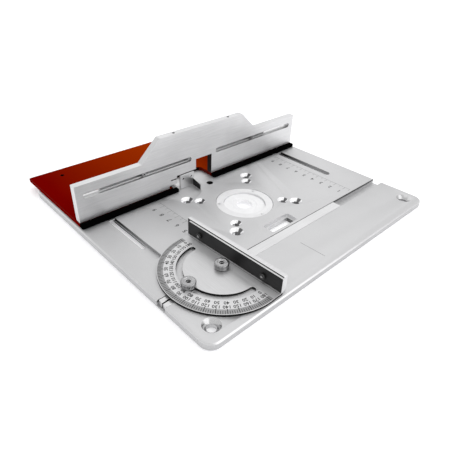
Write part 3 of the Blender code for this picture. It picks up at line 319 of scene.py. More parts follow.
class Bench:
    """The hand tools: each works on a primitive set at its size and place."""

    @staticmethod
    def only(piece: Piece) -> None:
        """Leaves one piece selected and active.

        Args:
            piece: The piece that the next tool works on.
        """
        bpy.ops.object.select_all(action="DESELECT")
        piece.select_set(True)
        bpy.context.view_layer.objects.active = piece

    @classmethod
    def settle(cls, piece: Piece, name: str) -> Piece:
        """Names a new primitive and puts its place into its mesh.

        Args:
            piece: The new primitive.
            name: The name it gets.

        Returns:
            The same piece, at the origin, unturned and unscaled.
        """
        cls.label(piece, name)
        cls.only(piece)
        bpy.ops.object.transform_apply(location=True, rotation=True, scale=True)
        return piece

    @staticmethod
    def label(piece: Piece, name: str) -> Piece:
        """Names a piece and its mesh."""
        piece.name = piece.data.name = name
        return piece

    @classmethod
    def block(cls, name: str, low: Spot, high: Spot) -> Piece:
        """Sets a block between two corners.

        Args:
            name: The new piece's name.
            low: Its lowest corner.
            high: Its highest corner.

        Returns:
            The block.
        """
        a, b = at(*low), at(*high)
        bpy.ops.object.select_all(action="DESELECT")
        bpy.ops.mesh.primitive_cube_add(size=1.0, location=(a + b) / 2, scale=b - a)
        return cls.settle(bpy.context.active_object, name)

    @classmethod
    def rod(cls, name: str, foot: Spot, radius: float, length: float, axis: Axis = Axis.UP,
            sides: int = 48, top_radius: float | None = None) -> Piece:
        """Sets a cylinder or a cone from its foot.

        Args:
            name: The new piece's name.
            foot: The middle of its foot.
            radius: Its radius at the foot.
            length: Its length along the axis.
            axis: Where it points.
            sides: How many sides it has.
            top_radius: Its radius at the top, where that differs.

        Returns:
            The rod.
        """
        turn = Axis.UP.vector.rotation_difference(axis.vector).to_euler()
        middle = at(*foot) + axis.vector * (length * MM / 2)
        top = radius if top_radius is None else top_radius
        bpy.ops.object.select_all(action="DESELECT")
        bpy.ops.mesh.primitive_cone_add(vertices=sides, radius1=radius * MM, radius2=top * MM,
                                        depth=length * MM, location=middle, rotation=turn)
        return cls.settle(bpy.context.active_object, name)

    @classmethod
    def pick(cls, piece: Piece, faces: Choice | None = None, edges: Choice | None = None) -> None:
        """Opens a piece for editing with chosen faces or edges selected.

        Args:
            piece: The piece to open.
            faces: Says from its middle and normal whether a face is wanted.
            edges: Says from its two ends whether an edge is wanted.
        """
        cls.only(piece)
        bpy.ops.object.mode_set(mode="EDIT")
        bpy.ops.mesh.select_mode(type="FACE" if faces else "EDGE")
        bpy.ops.mesh.select_all(action="DESELECT")
        mesh = bmesh.from_edit_mesh(piece.data)
        for face in mesh.faces if faces else ():
            face.select_set(faces(face.calc_center_median(), face.normal))
        for edge in mesh.edges if edges else ():
            edge.select_set(edges(edge.verts[0].co, edge.verts[1].co))
        bmesh.update_edit_mesh(piece.data)

    @staticmethod
    def done() -> None:
        """Closes the piece that is open for editing."""
        bpy.ops.object.mode_set(mode="OBJECT")

    @classmethod
    def shift(cls, piece: Piece, move: Spot, faces: Choice | None = None,
              edges: Choice | None = None) -> Piece:
        """Moves chosen faces or edges of a piece.

        Args:
            piece: The piece to work on.
            move: How far they go along x, y and z.
            faces: Says from its middle and normal whether a face goes.
            edges: Says from its two ends whether an edge goes.

        Returns:
            The same piece.
        """
        cls.pick(piece, faces, edges)
        bpy.ops.transform.translate(value=tuple(Vector(move) * MM))
        cls.done()
        return piece

    @classmethod
    def pull_out(cls, piece: Piece, move: Spot, faces: Choice) -> Piece:
        """Extrudes chosen faces of a piece.

        Args:
            piece: The piece to work on.
            move: How far they come out along x, y and z.
            faces: Says from its middle and normal whether a face comes out.

        Returns:
            The same piece.
        """
        cls.pick(piece, faces)
        bpy.ops.mesh.extrude_region_move(TRANSFORM_OT_translate={"value": tuple(Vector(move) * MM)})
        cls.done()
        return piece

    @classmethod
    def score(cls, piece: Piece, place: Vector, way: Axis, saw: bool = False) -> Piece:
        """Scores a flat cut round a piece, or saws the piece off there.

        Args:
            piece: The piece to work on.
            place: A point of the cut, in the shared frame.
            way: The direction square to the cut.
            saw: Whether what lies beyond is sawn off and the end closed.

        Returns:
            The same piece.
        """
        cls.pick(piece, faces=lambda c, n: True)
        bpy.ops.mesh.bisect(plane_co=place, plane_no=way.vector, use_fill=saw, clear_outer=saw)
        cls.done()
        return piece

    @classmethod
    def round_edges(cls, piece: Piece, wanted: Choice, radius: float, steps: int = 1) -> Piece:
        """Rounds or chamfers the edges picked by place.

        Args:
            piece: The piece to work on.
            wanted: Says from its two ends whether an edge is wanted.
            radius: How far the rounding reaches from the edge.
            steps: How many facets it has.

        Returns:
            The same piece.
        """
        cls.pick(piece, edges=wanted)
        bpy.ops.mesh.bevel(offset=radius * MM, segments=steps, affect="EDGES")
        cls.done()
        return piece

    @classmethod
    def upright_edges(cls, piece: Piece, radius: float, steps: int = 6) -> Piece:
        """Rounds the four upright corners of a block."""
        return cls.round_edges(piece, lambda a, b: abs(a.z - b.z) > NEAR, radius, steps)

    @classmethod
    def slot_cutter(cls, name: str, low: Spot, high: Spot) -> Piece:
        """Sets a cutter with round ends between two corners.

        Args:
            name: The cutter's name.
            low: Its lowest corner.
            high: Its highest corner; the longer of x and y is its length.

        Returns:
            The cutter.
        """
        piece = cls.block(name, low, high)
        width = min(high[0] - low[0], high[1] - low[1])
        return cls.upright_edges(piece, width / 2 - 0.005, 8)

    @classmethod
    def sink_cutter(cls, name: str, centre: Span, bore: float, sink: float,
                    top: float, bottom: float) -> Piece:
        """Sets a cutter for a countersunk hole.

        Args:
            name: The cutter's name.
            centre: Its x and y.
            bore: The bore's radius.
            sink: The countersink's radius at the surface.
            top: The surface's height.
            bottom: How deep the bore goes.

        Returns:
            The cutter.
        """
        depth = sink - bore
        foot = (centre[0], centre[1], bottom)
        piece = cls.rod(name, foot, bore, top - depth - bottom)
        throat = at(0, 0, top - depth).z
        cls.pick(piece, faces=lambda c, n: n.z > 0.9 and abs(c.z - throat) < NEAR)
        grow = (sink + OVER) / bore
        bpy.ops.mesh.extrude_region_move(TRANSFORM_OT_translate={"value": (0, 0, (depth + OVER) * MM)})
        bpy.ops.transform.resize(value=(grow, grow, 1.0), center_override=at(*centre, top))
        cls.done()
        return piece

    @classmethod
    def _combine(cls, piece: Piece, tool: Piece, operation: str) -> Piece:
        """Applies one exact boolean and throws the tool away.

        Args:
            piece: The piece that is kept.
            tool: The piece that is used up.
            operation: The modifier's own word for what it does.

        Returns:
            The kept piece.
        """
        cls.only(piece)
        mod = piece.modifiers.new("combine", "BOOLEAN")
        mod.operation = operation
        mod.solver = "EXACT"
        mod.object = tool
        mod.material_mode = "TRANSFER"
        bpy.ops.object.modifier_apply(modifier=mod.name)
        bpy.data.objects.remove(tool)
        return piece

    @classmethod
    def cut(cls, piece: Piece, tools: Sequence[Piece], finish: Finish | None = None) -> Piece:
        """Cuts away a set of tools that don't touch each other.

        Args:
            piece: The piece to cut.
            tools: The cutters.
            finish: What the fresh faces show, where it differs.

        Returns:
            The same piece.
        """
        tool = cls.join(list(tools))
        if finish:
            tool.data.materials.clear()
            tool.data.materials.append(finish.material())
        return cls._combine(piece, tool, "DIFFERENCE")

    @classmethod
    def weld(cls, piece: Piece, *others: Piece) -> Piece:
        """Joins overlapping solids into one.

        Args:
            piece: The piece that stays.
            others: The pieces that go into it.

        Returns:
            The joined piece.
        """
        for other in others:
            cls._combine(piece, other, "UNION")
        return piece

    @classmethod
    def join(cls, pieces: Sequence[Piece]) -> Piece:
        """Puts several meshes into the first one without merging them.

        Args:
            pieces: The pieces, the one that stays first.

        Returns:
            The first piece.
        """
        cls.only(pieces[0])
        for piece in pieces:
            piece.select_set(True)
        if len(pieces) > 1:
            bpy.ops.object.join()
        return pieces[0]

    @classmethod
    def paint(cls, piece: Piece, *finishes: Finish) -> Piece:
        """Gives a piece its finishes, the first one wherever a cut hasn't left its own.

        Args:
            piece: The piece to paint.
            finishes: The finishes in slot order.

        Returns:
            The same piece.
        """
        keep = [m for m in piece.data.materials if m]
        index = [p.material_index for p in piece.data.polygons]
        own = [finish.material() for finish in finishes]
        named = list(piece.data.materials)
        piece.data.materials.clear()
        for mat in own + [m for m in keep if m not in own]:
            piece.data.materials.append(mat)
        order = [m.name for m in piece.data.materials]
        for face, old in zip(piece.data.polygons, index):
            mat = named[old] if old < len(named) else None
            face.material_index = order.index(mat.name) if mat else 0
        return piece

    @classmethod
    def break_edges(cls, piece: Piece, width: float, steps: int = 1, edge_slot: int = -1) -> Piece:
        """Breaks every sharp edge and smooths the round faces.

        Args:
            piece: The piece to work on.
            width: How wide the broken edge is.
            steps: How many facets it has.
            edge_slot: The finish slot that the edge shows, or -1 for its own.

        Returns:
            The same piece.
        """
        cls.only(piece)
        mod = piece.modifiers.new("edge", "BEVEL")
        mod.width = width * MM
        mod.segments = steps
        mod.limit_method = "ANGLE"
        mod.angle_limit = SHARP
        mod.material = edge_slot
        mod.use_clamp_overlap = True
        bpy.ops.object.modifier_apply(modifier=mod.name)
        return cls.smooth(piece)

    @classmethod
    def smooth(cls, piece: Piece) -> Piece:
        """Smooths the round faces and keeps the flat ones flat.

        Args:
            piece: The piece to work on.

        Returns:
            The same piece.
        """
        cls.only(piece)
        bpy.ops.object.shade_smooth_by_angle(angle=SHARP)
        mesh = bmesh.new()
        mesh.from_mesh(piece.data)
        for face in mesh.faces:
            face.smooth = any(math.radians(1) < edge.calc_face_angle(0.0) < SHARP for edge in face.edges)
        mesh.to_mesh(piece.data)
        mesh.free()
        return piece

    @staticmethod
    def paint_faces(piece: Piece, slot: int, wanted: Choice) -> None:
        """Gives chosen faces the finish in a slot.

        Args:
            piece: The piece to paint.
            slot: The finish's slot.
            wanted: Says from its middle and normal whether a face gets it.
        """
        for face in piece.data.polygons:
            if wanted(face.center, face.normal):
                face.material_index = slot

    @classmethod
    def hand_over(cls, piece: Piece, body: str, slot: str, node: str | None = None) -> Piece:
        """Lets the piece ride on its body in place of its CAD node.

        Args:
            piece: The finished piece.
            body: The body that carries it.
            slot: The record's material slot; not used.
            node: The CAD node that it stands for.

        Returns:
            The same piece.
        """
        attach(piece, body)
        if node:
            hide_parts(node)
        LOG.info("%s rides on %s: %d faces", piece.name, body, len(piece.data.polygons))
        return piece

    @classmethod
    def lettering(cls, name: str, text: str, height: float, centre: Spot, turn: float) -> Piece:
        """Makes one line of raised figures, a sliver thick.

        Args:
            name: The new piece's name.
            text: The figures.
            height: Their height.
            centre: Their middle.
            turn: How far the line is turned about the upright axis, in radians.

        Returns:
            The figures as a closed mesh.
        """
        bpy.ops.object.select_all(action="DESELECT")
        bpy.ops.object.text_add()
        piece = bpy.context.active_object
        piece.data.body = text
        piece.data.size = height * 1.38 * MM
        piece.data.align_x, piece.data.align_y = "CENTER", "CENTER"
        piece.data.extrude = SLIVER * MM / 2
        piece.data.offset = height * 0.022 * MM
        piece.data.resolution_u = 2
        bpy.ops.object.convert(target="MESH")
        piece = bpy.context.active_object
        piece.rotation_euler = (0.0, 0.0, turn)
        piece.location = at(*centre)
        cls.settle(piece, name)
        cls.pick(piece, faces=lambda c, n: True)
        bpy.ops.mesh.remove_doubles(threshold=1e-7)
        cls.done()
        return piece

    @classmethod
    def stroke(cls, name: str, start: Spot, end: Spot, width: float) -> Piece:
        """Makes one engraved line, a sliver thick.

        Args:
            name: The new piece's name.
            start: Where it starts.
            end: Where it ends, at the same height.
            width: How wide it is.

        Returns:
            The line as a closed mesh.
        """
        a, b = Vector(start), Vector(end)
        run, middle = b - a, (a + b) / 2
        piece = cls.block(name, (middle.x - run.length / 2, middle.y - width / 2, middle.z - SLIVER / 2),
                          (middle.x + run.length / 2, middle.y + width / 2, middle.z + SLIVER / 2))
        return cls.turn(piece, tuple(middle), math.atan2(run.y, run.x))

    @classmethod
    def turn(cls, piece: Piece, centre: Spot, angle: float) -> Piece:
        """Turns a finished mesh about an upright line.

        Args:
            piece: The piece to turn.
            centre: A point of the line.
            angle: How far it turns, in radians.

        Returns:
            The same piece.
        """
        pivot = Matrix.Translation(at(*centre))
        piece.data.transform(pivot @ Matrix.Rotation(angle, 4, "Z") @ pivot.inverted())
        return piece


# ------------------------------------------------------------------ shared fasteners
@dataclass(frozen=True)
class SocketScrew:
    """A domed screw with a hexagon socket; its seat is the underside of its head."""

    head_r: float
    head_h: float
    dome: float
    shank_r: float
    shank: float
    flats: float
    socket_depth: float
    axis: Axis = Axis.UP
    rim: float = 0.0
    finish: Finish = STEEL

    def build(self, name: str, seat: Spot) -> Piece:
        """Models one screw.

        Args:
            name: The new piece's name.
            seat: The middle of the head's underside.

        Returns:
            The screw.
        """
        way = self.axis.vector
        base = Vector(seat)
        screw = Bench.rod(name, seat, self.head_r, self.head_h, self.axis, 40)
        top = at(*(base + way * self.head_h)).dot(way)
        Bench.round_edges(screw, lambda a, b: min(a.dot(way), b.dot(way)) > top - NEAR, self.dome, 3)
        if self.rim:
            ring = Bench.rod("rim", tuple(base + way * (self.head_h - self.rim)), self.head_r * 0.62,
                             self.rim + OVER, self.axis, 40)
            Bench.cut(screw, [ring])
        shank = Bench.rod("shank", tuple(base - way * self.shank), self.shank_r,
                          self.shank + self.head_h / 3, self.axis, 24)
        Bench.weld(screw, shank)
        deep = self.head_h - self.rim - self.socket_depth
        hole = Bench.rod("socket", tuple(base + way * deep), self.flats / math.sqrt(3),
                         self.head_h + OVER, self.axis, 6)
        # The hexagon socket's walls are painted near black: painted shade.
        Bench.cut(screw, [hole], DARK_SHADE)
        Bench.paint(screw, self.finish, CUT_EDGE)
        return Bench.break_edges(screw, 0.12, edge_slot=1)


@dataclass(frozen=True)
class FlushScrew:
    """A small countersunk screw with a hexagon socket; its seat is the top of its head."""

    head_r: float
    shank_r: float
    length: float
    flats: float
    depth: float
    drop: float = 0.7

    def build(self, name: str, top: Spot) -> Piece:
        """Models one screw.

        Args:
            name: The new piece's name.
            top: The middle of its head's top.

        Returns:
            The screw.
        """
        x, y, z = top
        screw = Bench.rod(name, (x, y, z - self.length), self.shank_r, self.length, sides=32)
        Bench.score(screw, at(x, y, z - self.drop), Axis.UP)
        rim, flare = at(x, y, z), self.head_r / self.shank_r
        Bench.pick(screw, faces=lambda c, n: n.z > 0.9 and c.z > rim.z - NEAR)
        bpy.ops.transform.resize(value=(flare, flare, 1.0), center_override=rim)
        Bench.done()
        # The socket takes the darker side finish, painted shade, and the head the bright cut finish.
        Bench.cut(screw, [Bench.rod("socket", (x, y, z - self.depth), self.flats / math.sqrt(3),
                                    self.depth + OVER, sides=6)], PLATE_SIDE_SHADE)
        Bench.paint(screw, BRIGHT_CUT_PAINTED_LIGHT)
        return Bench.break_edges(screw, 0.08)


@dataclass(frozen=True)
class Washer:
    """A plain round washer."""

    outer_r: float
    inner_r: float
    thick: float

    def build(self, name: str, foot: Spot) -> Piece:
        """Models one washer.

        Args:
            name: The new piece's name.
            foot: The middle of its underside.

        Returns:
            The washer.
        """
        x, y, z = foot
        ring = Bench.rod(name, foot, self.outer_r, self.thick)
        Bench.cut(ring, [Bench.rod("hole", (x, y, z - OVER), self.inner_r, self.thick + 2 * OVER)])
        return Bench.break_edges(Bench.paint(ring, STEEL), 0.12)


# ------------------------------------------------------------------ sub-assemblies
@dataclass(frozen=True)
class TablePlate:
    """The aluminium plate with its slots, holes and engraved scales."""

    half: float = 125.0
    deep: float = 230.0
    thick: float = 6.0
    corner: float = 8.0
    chamfer: float = 0.9
    corner_hole: float = 12.5
    corner_sink: float = 6.1
    miter_half: float = 4.325
    miter_depth: float = 4.2
    tool_y: float = 101.0
    tool_holes: tuple[Hole, ...] = ((35.5, 30.2, 5.4, 3.0), (28.0, 21.9, 4.6, 2.6))
    window_low: Span = (-13.2, 53.5)
    window_high: Span = (12.6, 60.9)
    pin_y: float = 142.2
    pin_r: float = 3.0
    numbers_x: Span = (79.4, -65.2)
    baselines_x: Span = (89.0, -55.5)
    scale_foot: float = 47.0
    scale_step: float = 9.87

    def build(self) -> None:
        """Models the plate and engraves it."""
        plate = self._blank()
        Bench.cut(plate, self._slot_cutters(), BLASTED)
        # The ring seat and the window pocket are painted lighter, cancelling the shade in them, and the
        # router countersinks glow a little: painted light.
        Bench.cut(plate, self._seat_cutters(), BRIGHT_CUT_PAINTED_LIGHT)
        Bench.cut(plate, self._tool_sinks(), SINK_GLOW)
        Bench.cut(plate, self._corner_sinks(), CORNER_SINK)
        Bench.cut(plate, self._lower_cutters(), MILLED)
        under = -self.thick
        Bench.cut(plate, self._clamp_slots("groove", 3.8, (98.6, 214.4), (under - OVER, under + 2.1)), MILLED)
        # Slots 2 to 6 hold painted shade: the base slots' left walls, the miter slot's rear wall, the shaded
        # sides of the router holes and the window, the guide pin's hole and the plate's sides.
        Bench.paint(plate, BLASTED, CUT_EDGE, SLOT_WALL_SHADE, MITER_WALL_SHADE, SINK_SHADE, DARK_SHADE, PLATE_SIDE_SHADE)
        Bench.paint_faces(plate, 2, self._slot_wall)
        Bench.paint_faces(plate, 3, self._miter_wall)
        Bench.paint_faces(plate, 4, self._hole_shade)
        Bench.paint_faces(plate, 5, self._pin_wall)
        Bench.paint_faces(plate, 6, lambda c, n: abs(n.z) < 0.1 and self._outside(c))
        edge = at(0, 0, -self.chamfer / 2).z
        Bench.paint_faces(plate, 1, lambda c, n: 0.3 < n.z < 0.9 and abs(c.z - edge) < 1e-4
                          and (n.x ** 2 + n.y ** 2) > 0.1 and self._outside(c))
        Bench.break_edges(plate, 0.16, edge_slot=1)
        Bench.hand_over(plate, "table", "plate", "table_plate")
        for number, (x, base) in enumerate(zip(self.numbers_x, self.baselines_x), start=1):
            self._scale(f"scale_{number}", x, base)
        index = Bench.stroke("index_line", (-9.4, 29.8, 0.0), (-8.8, 8.2, 0.0), 0.35)
        Bench.hand_over(Bench.paint(index, FAINTER_INK), "table", "plate")

    def _outside(self, place: Vector) -> bool:
        """Says whether a place is on the plate's outer edge.

        Args:
            place: The place, in the shared frame.

        Returns:
            Whether it is within a millimetre of a side, or out on a rounded corner.
        """
        x, y, _ = (place - ORIGIN) / MM
        corner = abs(x) > self.half - self.corner and not self.corner <= y <= self.deep - self.corner
        return corner and self._far(place) or not (abs(x) < self.half - 1 and 1 < y < self.deep - 1)

    def _far(self, place: Vector) -> bool:
        """Says whether a place in a corner is further out than its countersink.

        Args:
            place: The place, in the shared frame.

        Returns:
            Whether it is clear of the nearest corner hole.
        """
        x, y, _ = (place - ORIGIN) / MM
        nearest = self.corner_hole if y < self.deep / 2 else self.deep - self.corner_hole
        return math.hypot(abs(x) - self.half + self.corner_hole, y - nearest) > self.corner_sink + 0.7

    def _blank(self) -> Piece:
        """Models the plate before it is cut.

        Returns:
            The rounded and chamfered blank.
        """
        plate = Bench.block("plate_body", (-self.half, 0, -self.thick), (self.half, self.deep, 0))
        Bench.upright_edges(plate, self.corner, 10)
        return Bench.round_edges(plate, lambda a, b: abs(a.z - b.z) < 1e-6, self.chamfer)

    def _slot_wall(self, centre: Vector, normal: Vector) -> bool:
        """Says whether a face is a base slot's wall that looks to the left, which gets painted shade."""
        x, y, _ = (centre - ORIGIN) / MM
        return normal.x < -0.5 and abs(abs(x) - CLAMP_X) < 4.0 and 81.0 < y < 223.0

    def _miter_wall(self, centre: Vector, normal: Vector) -> bool:
        """Says whether a face is the miter slot's rear wall, which gets painted shade."""
        _, y, z = (centre - ORIGIN) / MM
        return normal.y < -0.9 and abs(y - MITER_Y - self.miter_half) < 0.1 and z > -self.miter_depth

    def _hole_shade(self, centre: Vector, normal: Vector) -> bool:
        """Says whether a face is on the shaded side of a router hole or of the window.

        Args:
            centre: The face's middle.
            normal: The way it looks.

        Returns:
            Whether it is shaded.
        """
        place = (centre - ORIGIN) / MM
        near = any(math.hypot(place.x - x, place.y - y) < 6.3 for x, y, _, _ in self._router_holes())
        middle = (self.window_low[1] + self.window_high[1]) / 2
        beside = abs(place.x - self.window_high[0]) < 0.4 and abs(place.y - middle) < 4.0
        window = beside and normal.x < -0.5
        return window or near and (normal.x < -0.67 or normal.x < -0.4 and abs(normal.z) < 0.1)

    def _pin_wall(self, centre: Vector, normal: Vector) -> bool:
        """Says whether a face is the guide pin hole's wall, which gets painted shade."""
        place = (centre - ORIGIN) / MM
        return math.hypot(place.x, place.y - self.pin_y) < self.pin_r + 0.1 and abs(normal.z) < 0.3

    def _router_holes(self) -> list[Hole]:
        """Lists the holes that hold the router: x, y, countersink and bore."""
        return [(sx * x, self.tool_y + sy * y, sink, bore) for x, y, sink, bore in self.tool_holes
                for sx in SIDES for sy in SIDES]

    @staticmethod
    def _clamp_slots(name: str, half: float, ends: Span, depths: Span) -> list[Piece]:
        """Sets the cutters of one step of the two clamp slots.

        Args:
            name: The cutters' name.
            half: Half the step's width.
            ends: Its front and rear ends.
            depths: Its lowest and highest heights.

        Returns:
            The cutters, left and right.
        """
        return [Bench.slot_cutter(name, (s * CLAMP_X - half, ends[0], depths[0]),
                                  (s * CLAMP_X + half, ends[1], depths[1])) for s in SIDES]

    def _slot_cutters(self) -> list[Piece]:
        """Sets the cutters of the miter slot and the key slots.

        Returns:
            The cutters.
        """
        miter = Bench.block("miter_slot", (-self.half - OVER, MITER_Y - self.miter_half, -self.miter_depth),
                            (self.half + OVER, MITER_Y + self.miter_half, OVER))
        return [miter, *self._clamp_slots("key_slot", 3.25, (82, 222), (-2.6, OVER))]

    def _seat_cutters(self) -> list[Piece]:
        """Sets the cutters of the ring seat and the window's pocket.

        Returns:
            The cutters.
        """
        window = Bench.block("pocket", (-15.0, 51.7, -2.6), (14.4, 62.7, OVER))
        return [Bench.rod("ring_seat", (0, RING_Y, -3.0), 24.3, 3 + OVER, sides=96),
                Bench.upright_edges(window, 1.5)]

    def _corner_sinks(self) -> list[Piece]:
        """Sets the cutters for the four corner holes.

        Returns:
            The cutters.
        """
        x = self.half - self.corner_hole
        return [Bench.sink_cutter("corner_hole", (s * x, y), 3.3, self.corner_sink, 0, -self.thick - OVER)
                for s in SIDES for y in (self.corner_hole, self.deep - self.corner_hole)]

    def _tool_sinks(self) -> list[Piece]:
        """Sets the cutters for the two sizes of hole that hold the router."""
        return [Bench.sink_cutter("tool_hole", (x, y), bore, sink, 0, -self.thick - OVER)
                for x, y, sink, bore in self._router_holes()]

    def _lower_cutters(self) -> list[Piece]:
        """Sets the cutters that go right through inside the first ones.

        Returns:
            The cutters.
        """
        low, through = -self.thick - OVER, self.thick + 2 * OVER
        window = Bench.block("window", (*self.window_low, low), (*self.window_high, OVER))
        return [Bench.rod("ring_bore", (0, RING_Y, low), 19.5, through, sides=96),
                Bench.upright_edges(window, 1.0),
                Bench.rod("pin_hole", (0, self.pin_y, low), self.pin_r, through),
                *(Bench.rod("screw_hole", (x, y, low), 1.3, self.thick + OVER, sides=20)
                  for x, y in RING_HOLES),
                *self._clamp_slots("bolt_slot", 2.3, (101, 212), (low, OVER))]

    def _scale(self, name: str, x: float, base: float) -> None:
        """Engraves one centimetre scale: figures, half-centimetre ticks and a base line.

        Args:
            name: The scale's name.
            x: Where its figures stand.
            base: Where its base line runs.
        """
        figures = []
        for n in range(1, 10):
            y = self.scale_foot + self.scale_step * n
            figures.append(Bench.lettering("figure", str(n), 4.0, (x, y, 0.0), math.pi / 2))
        numbers = Bench.label(Bench.join(figures), name + "_figures")
        Bench.hand_over(Bench.paint(numbers, FAINT_INK), "table", "plate")
        ticks = []
        for n in range(1, 20):
            y = self.scale_foot + self.scale_step / 2 * n
            reach = 4.6 if n % 2 == 0 else 2.8
            ticks.append(Bench.stroke("tick", (base - reach, y, 0.0), (base, y, 0.0), 0.34))
        ticks.append(Bench.stroke("line", (base, 52, 0.0), (base, 142, 0.0), 0.30))
        lines = Bench.label(Bench.join(ticks), name + "_ticks")
        Bench.hand_over(Bench.paint(lines, FAINTER_INK), "table", "plate")


@dataclass(frozen=True)
class InsertRings:
    """The two milky reducing rings and the screws that hold them."""

    screw: FlushScrew = FlushScrew(1.65, 1.0, 5.0, 1.0, 0.6)

    def build(self) -> None:
        """Models both rings and their screws."""
        outer = Bench.rod("ring_outer", (0, RING_Y, -2.7), 24.0, 2.4, sides=96)
        Bench.weld(outer, Bench.rod("hub", (0, RING_Y, -5.7), 19.2, 4.0, sides=96))
        Bench.cut(outer, [Bench.rod("step", (0, RING_Y, -3.9), 17.8, 6.0, sides=96)], MILKY)
        Bench.cut(outer, [Bench.rod("bore", (0, RING_Y, -8.0), 15.0, 10.0, sides=96)], MILKY)
        Bench.cut(outer, [Bench.sink_cutter("hole", p, 1.3, 2.0, -0.3, -4.0) for p in RING_HOLES], MILKY)
        # The outer ring's broken edges take the paler finish with its faint glow: a painted highlight.
        Bench.break_edges(Bench.paint(outer, MILKY, MILKY_PALE_GLOW), 0.3, edge_slot=1)
        Bench.hand_over(outer, "table", "ring", "outer_ring")
        inner = Bench.rod("ring_inner", (0, RING_Y, -3.6), 17.5, 1.7, sides=96)
        Bench.cut(inner, [Bench.rod("hole", (0, RING_Y, -5.0), 6.5, 4.0, sides=72)])
        groove = Bench.rod("groove", (0, RING_Y, -2.2), 10.6, 1.0, sides=72)
        Bench.cut(groove, [Bench.rod("core", (0, RING_Y, -3.0), 10.0, 3.0, sides=72)])
        Bench.cut(inner, [groove])
        # The inner ring is paler milky plastic with a faint painted glow.
        Bench.break_edges(Bench.paint(inner, MILKY_PALE_GLOW), 0.3)
        Bench.hand_over(inner, "table", "ring", "inner_ring")
        for number, (x, y) in enumerate(RING_HOLES, start=1):
            screw = self.screw.build(f"ring_fixing_{number}", (x, y, -0.6))
            Bench.hand_over(screw, "table", "steel", f"ring_screw_{number}")


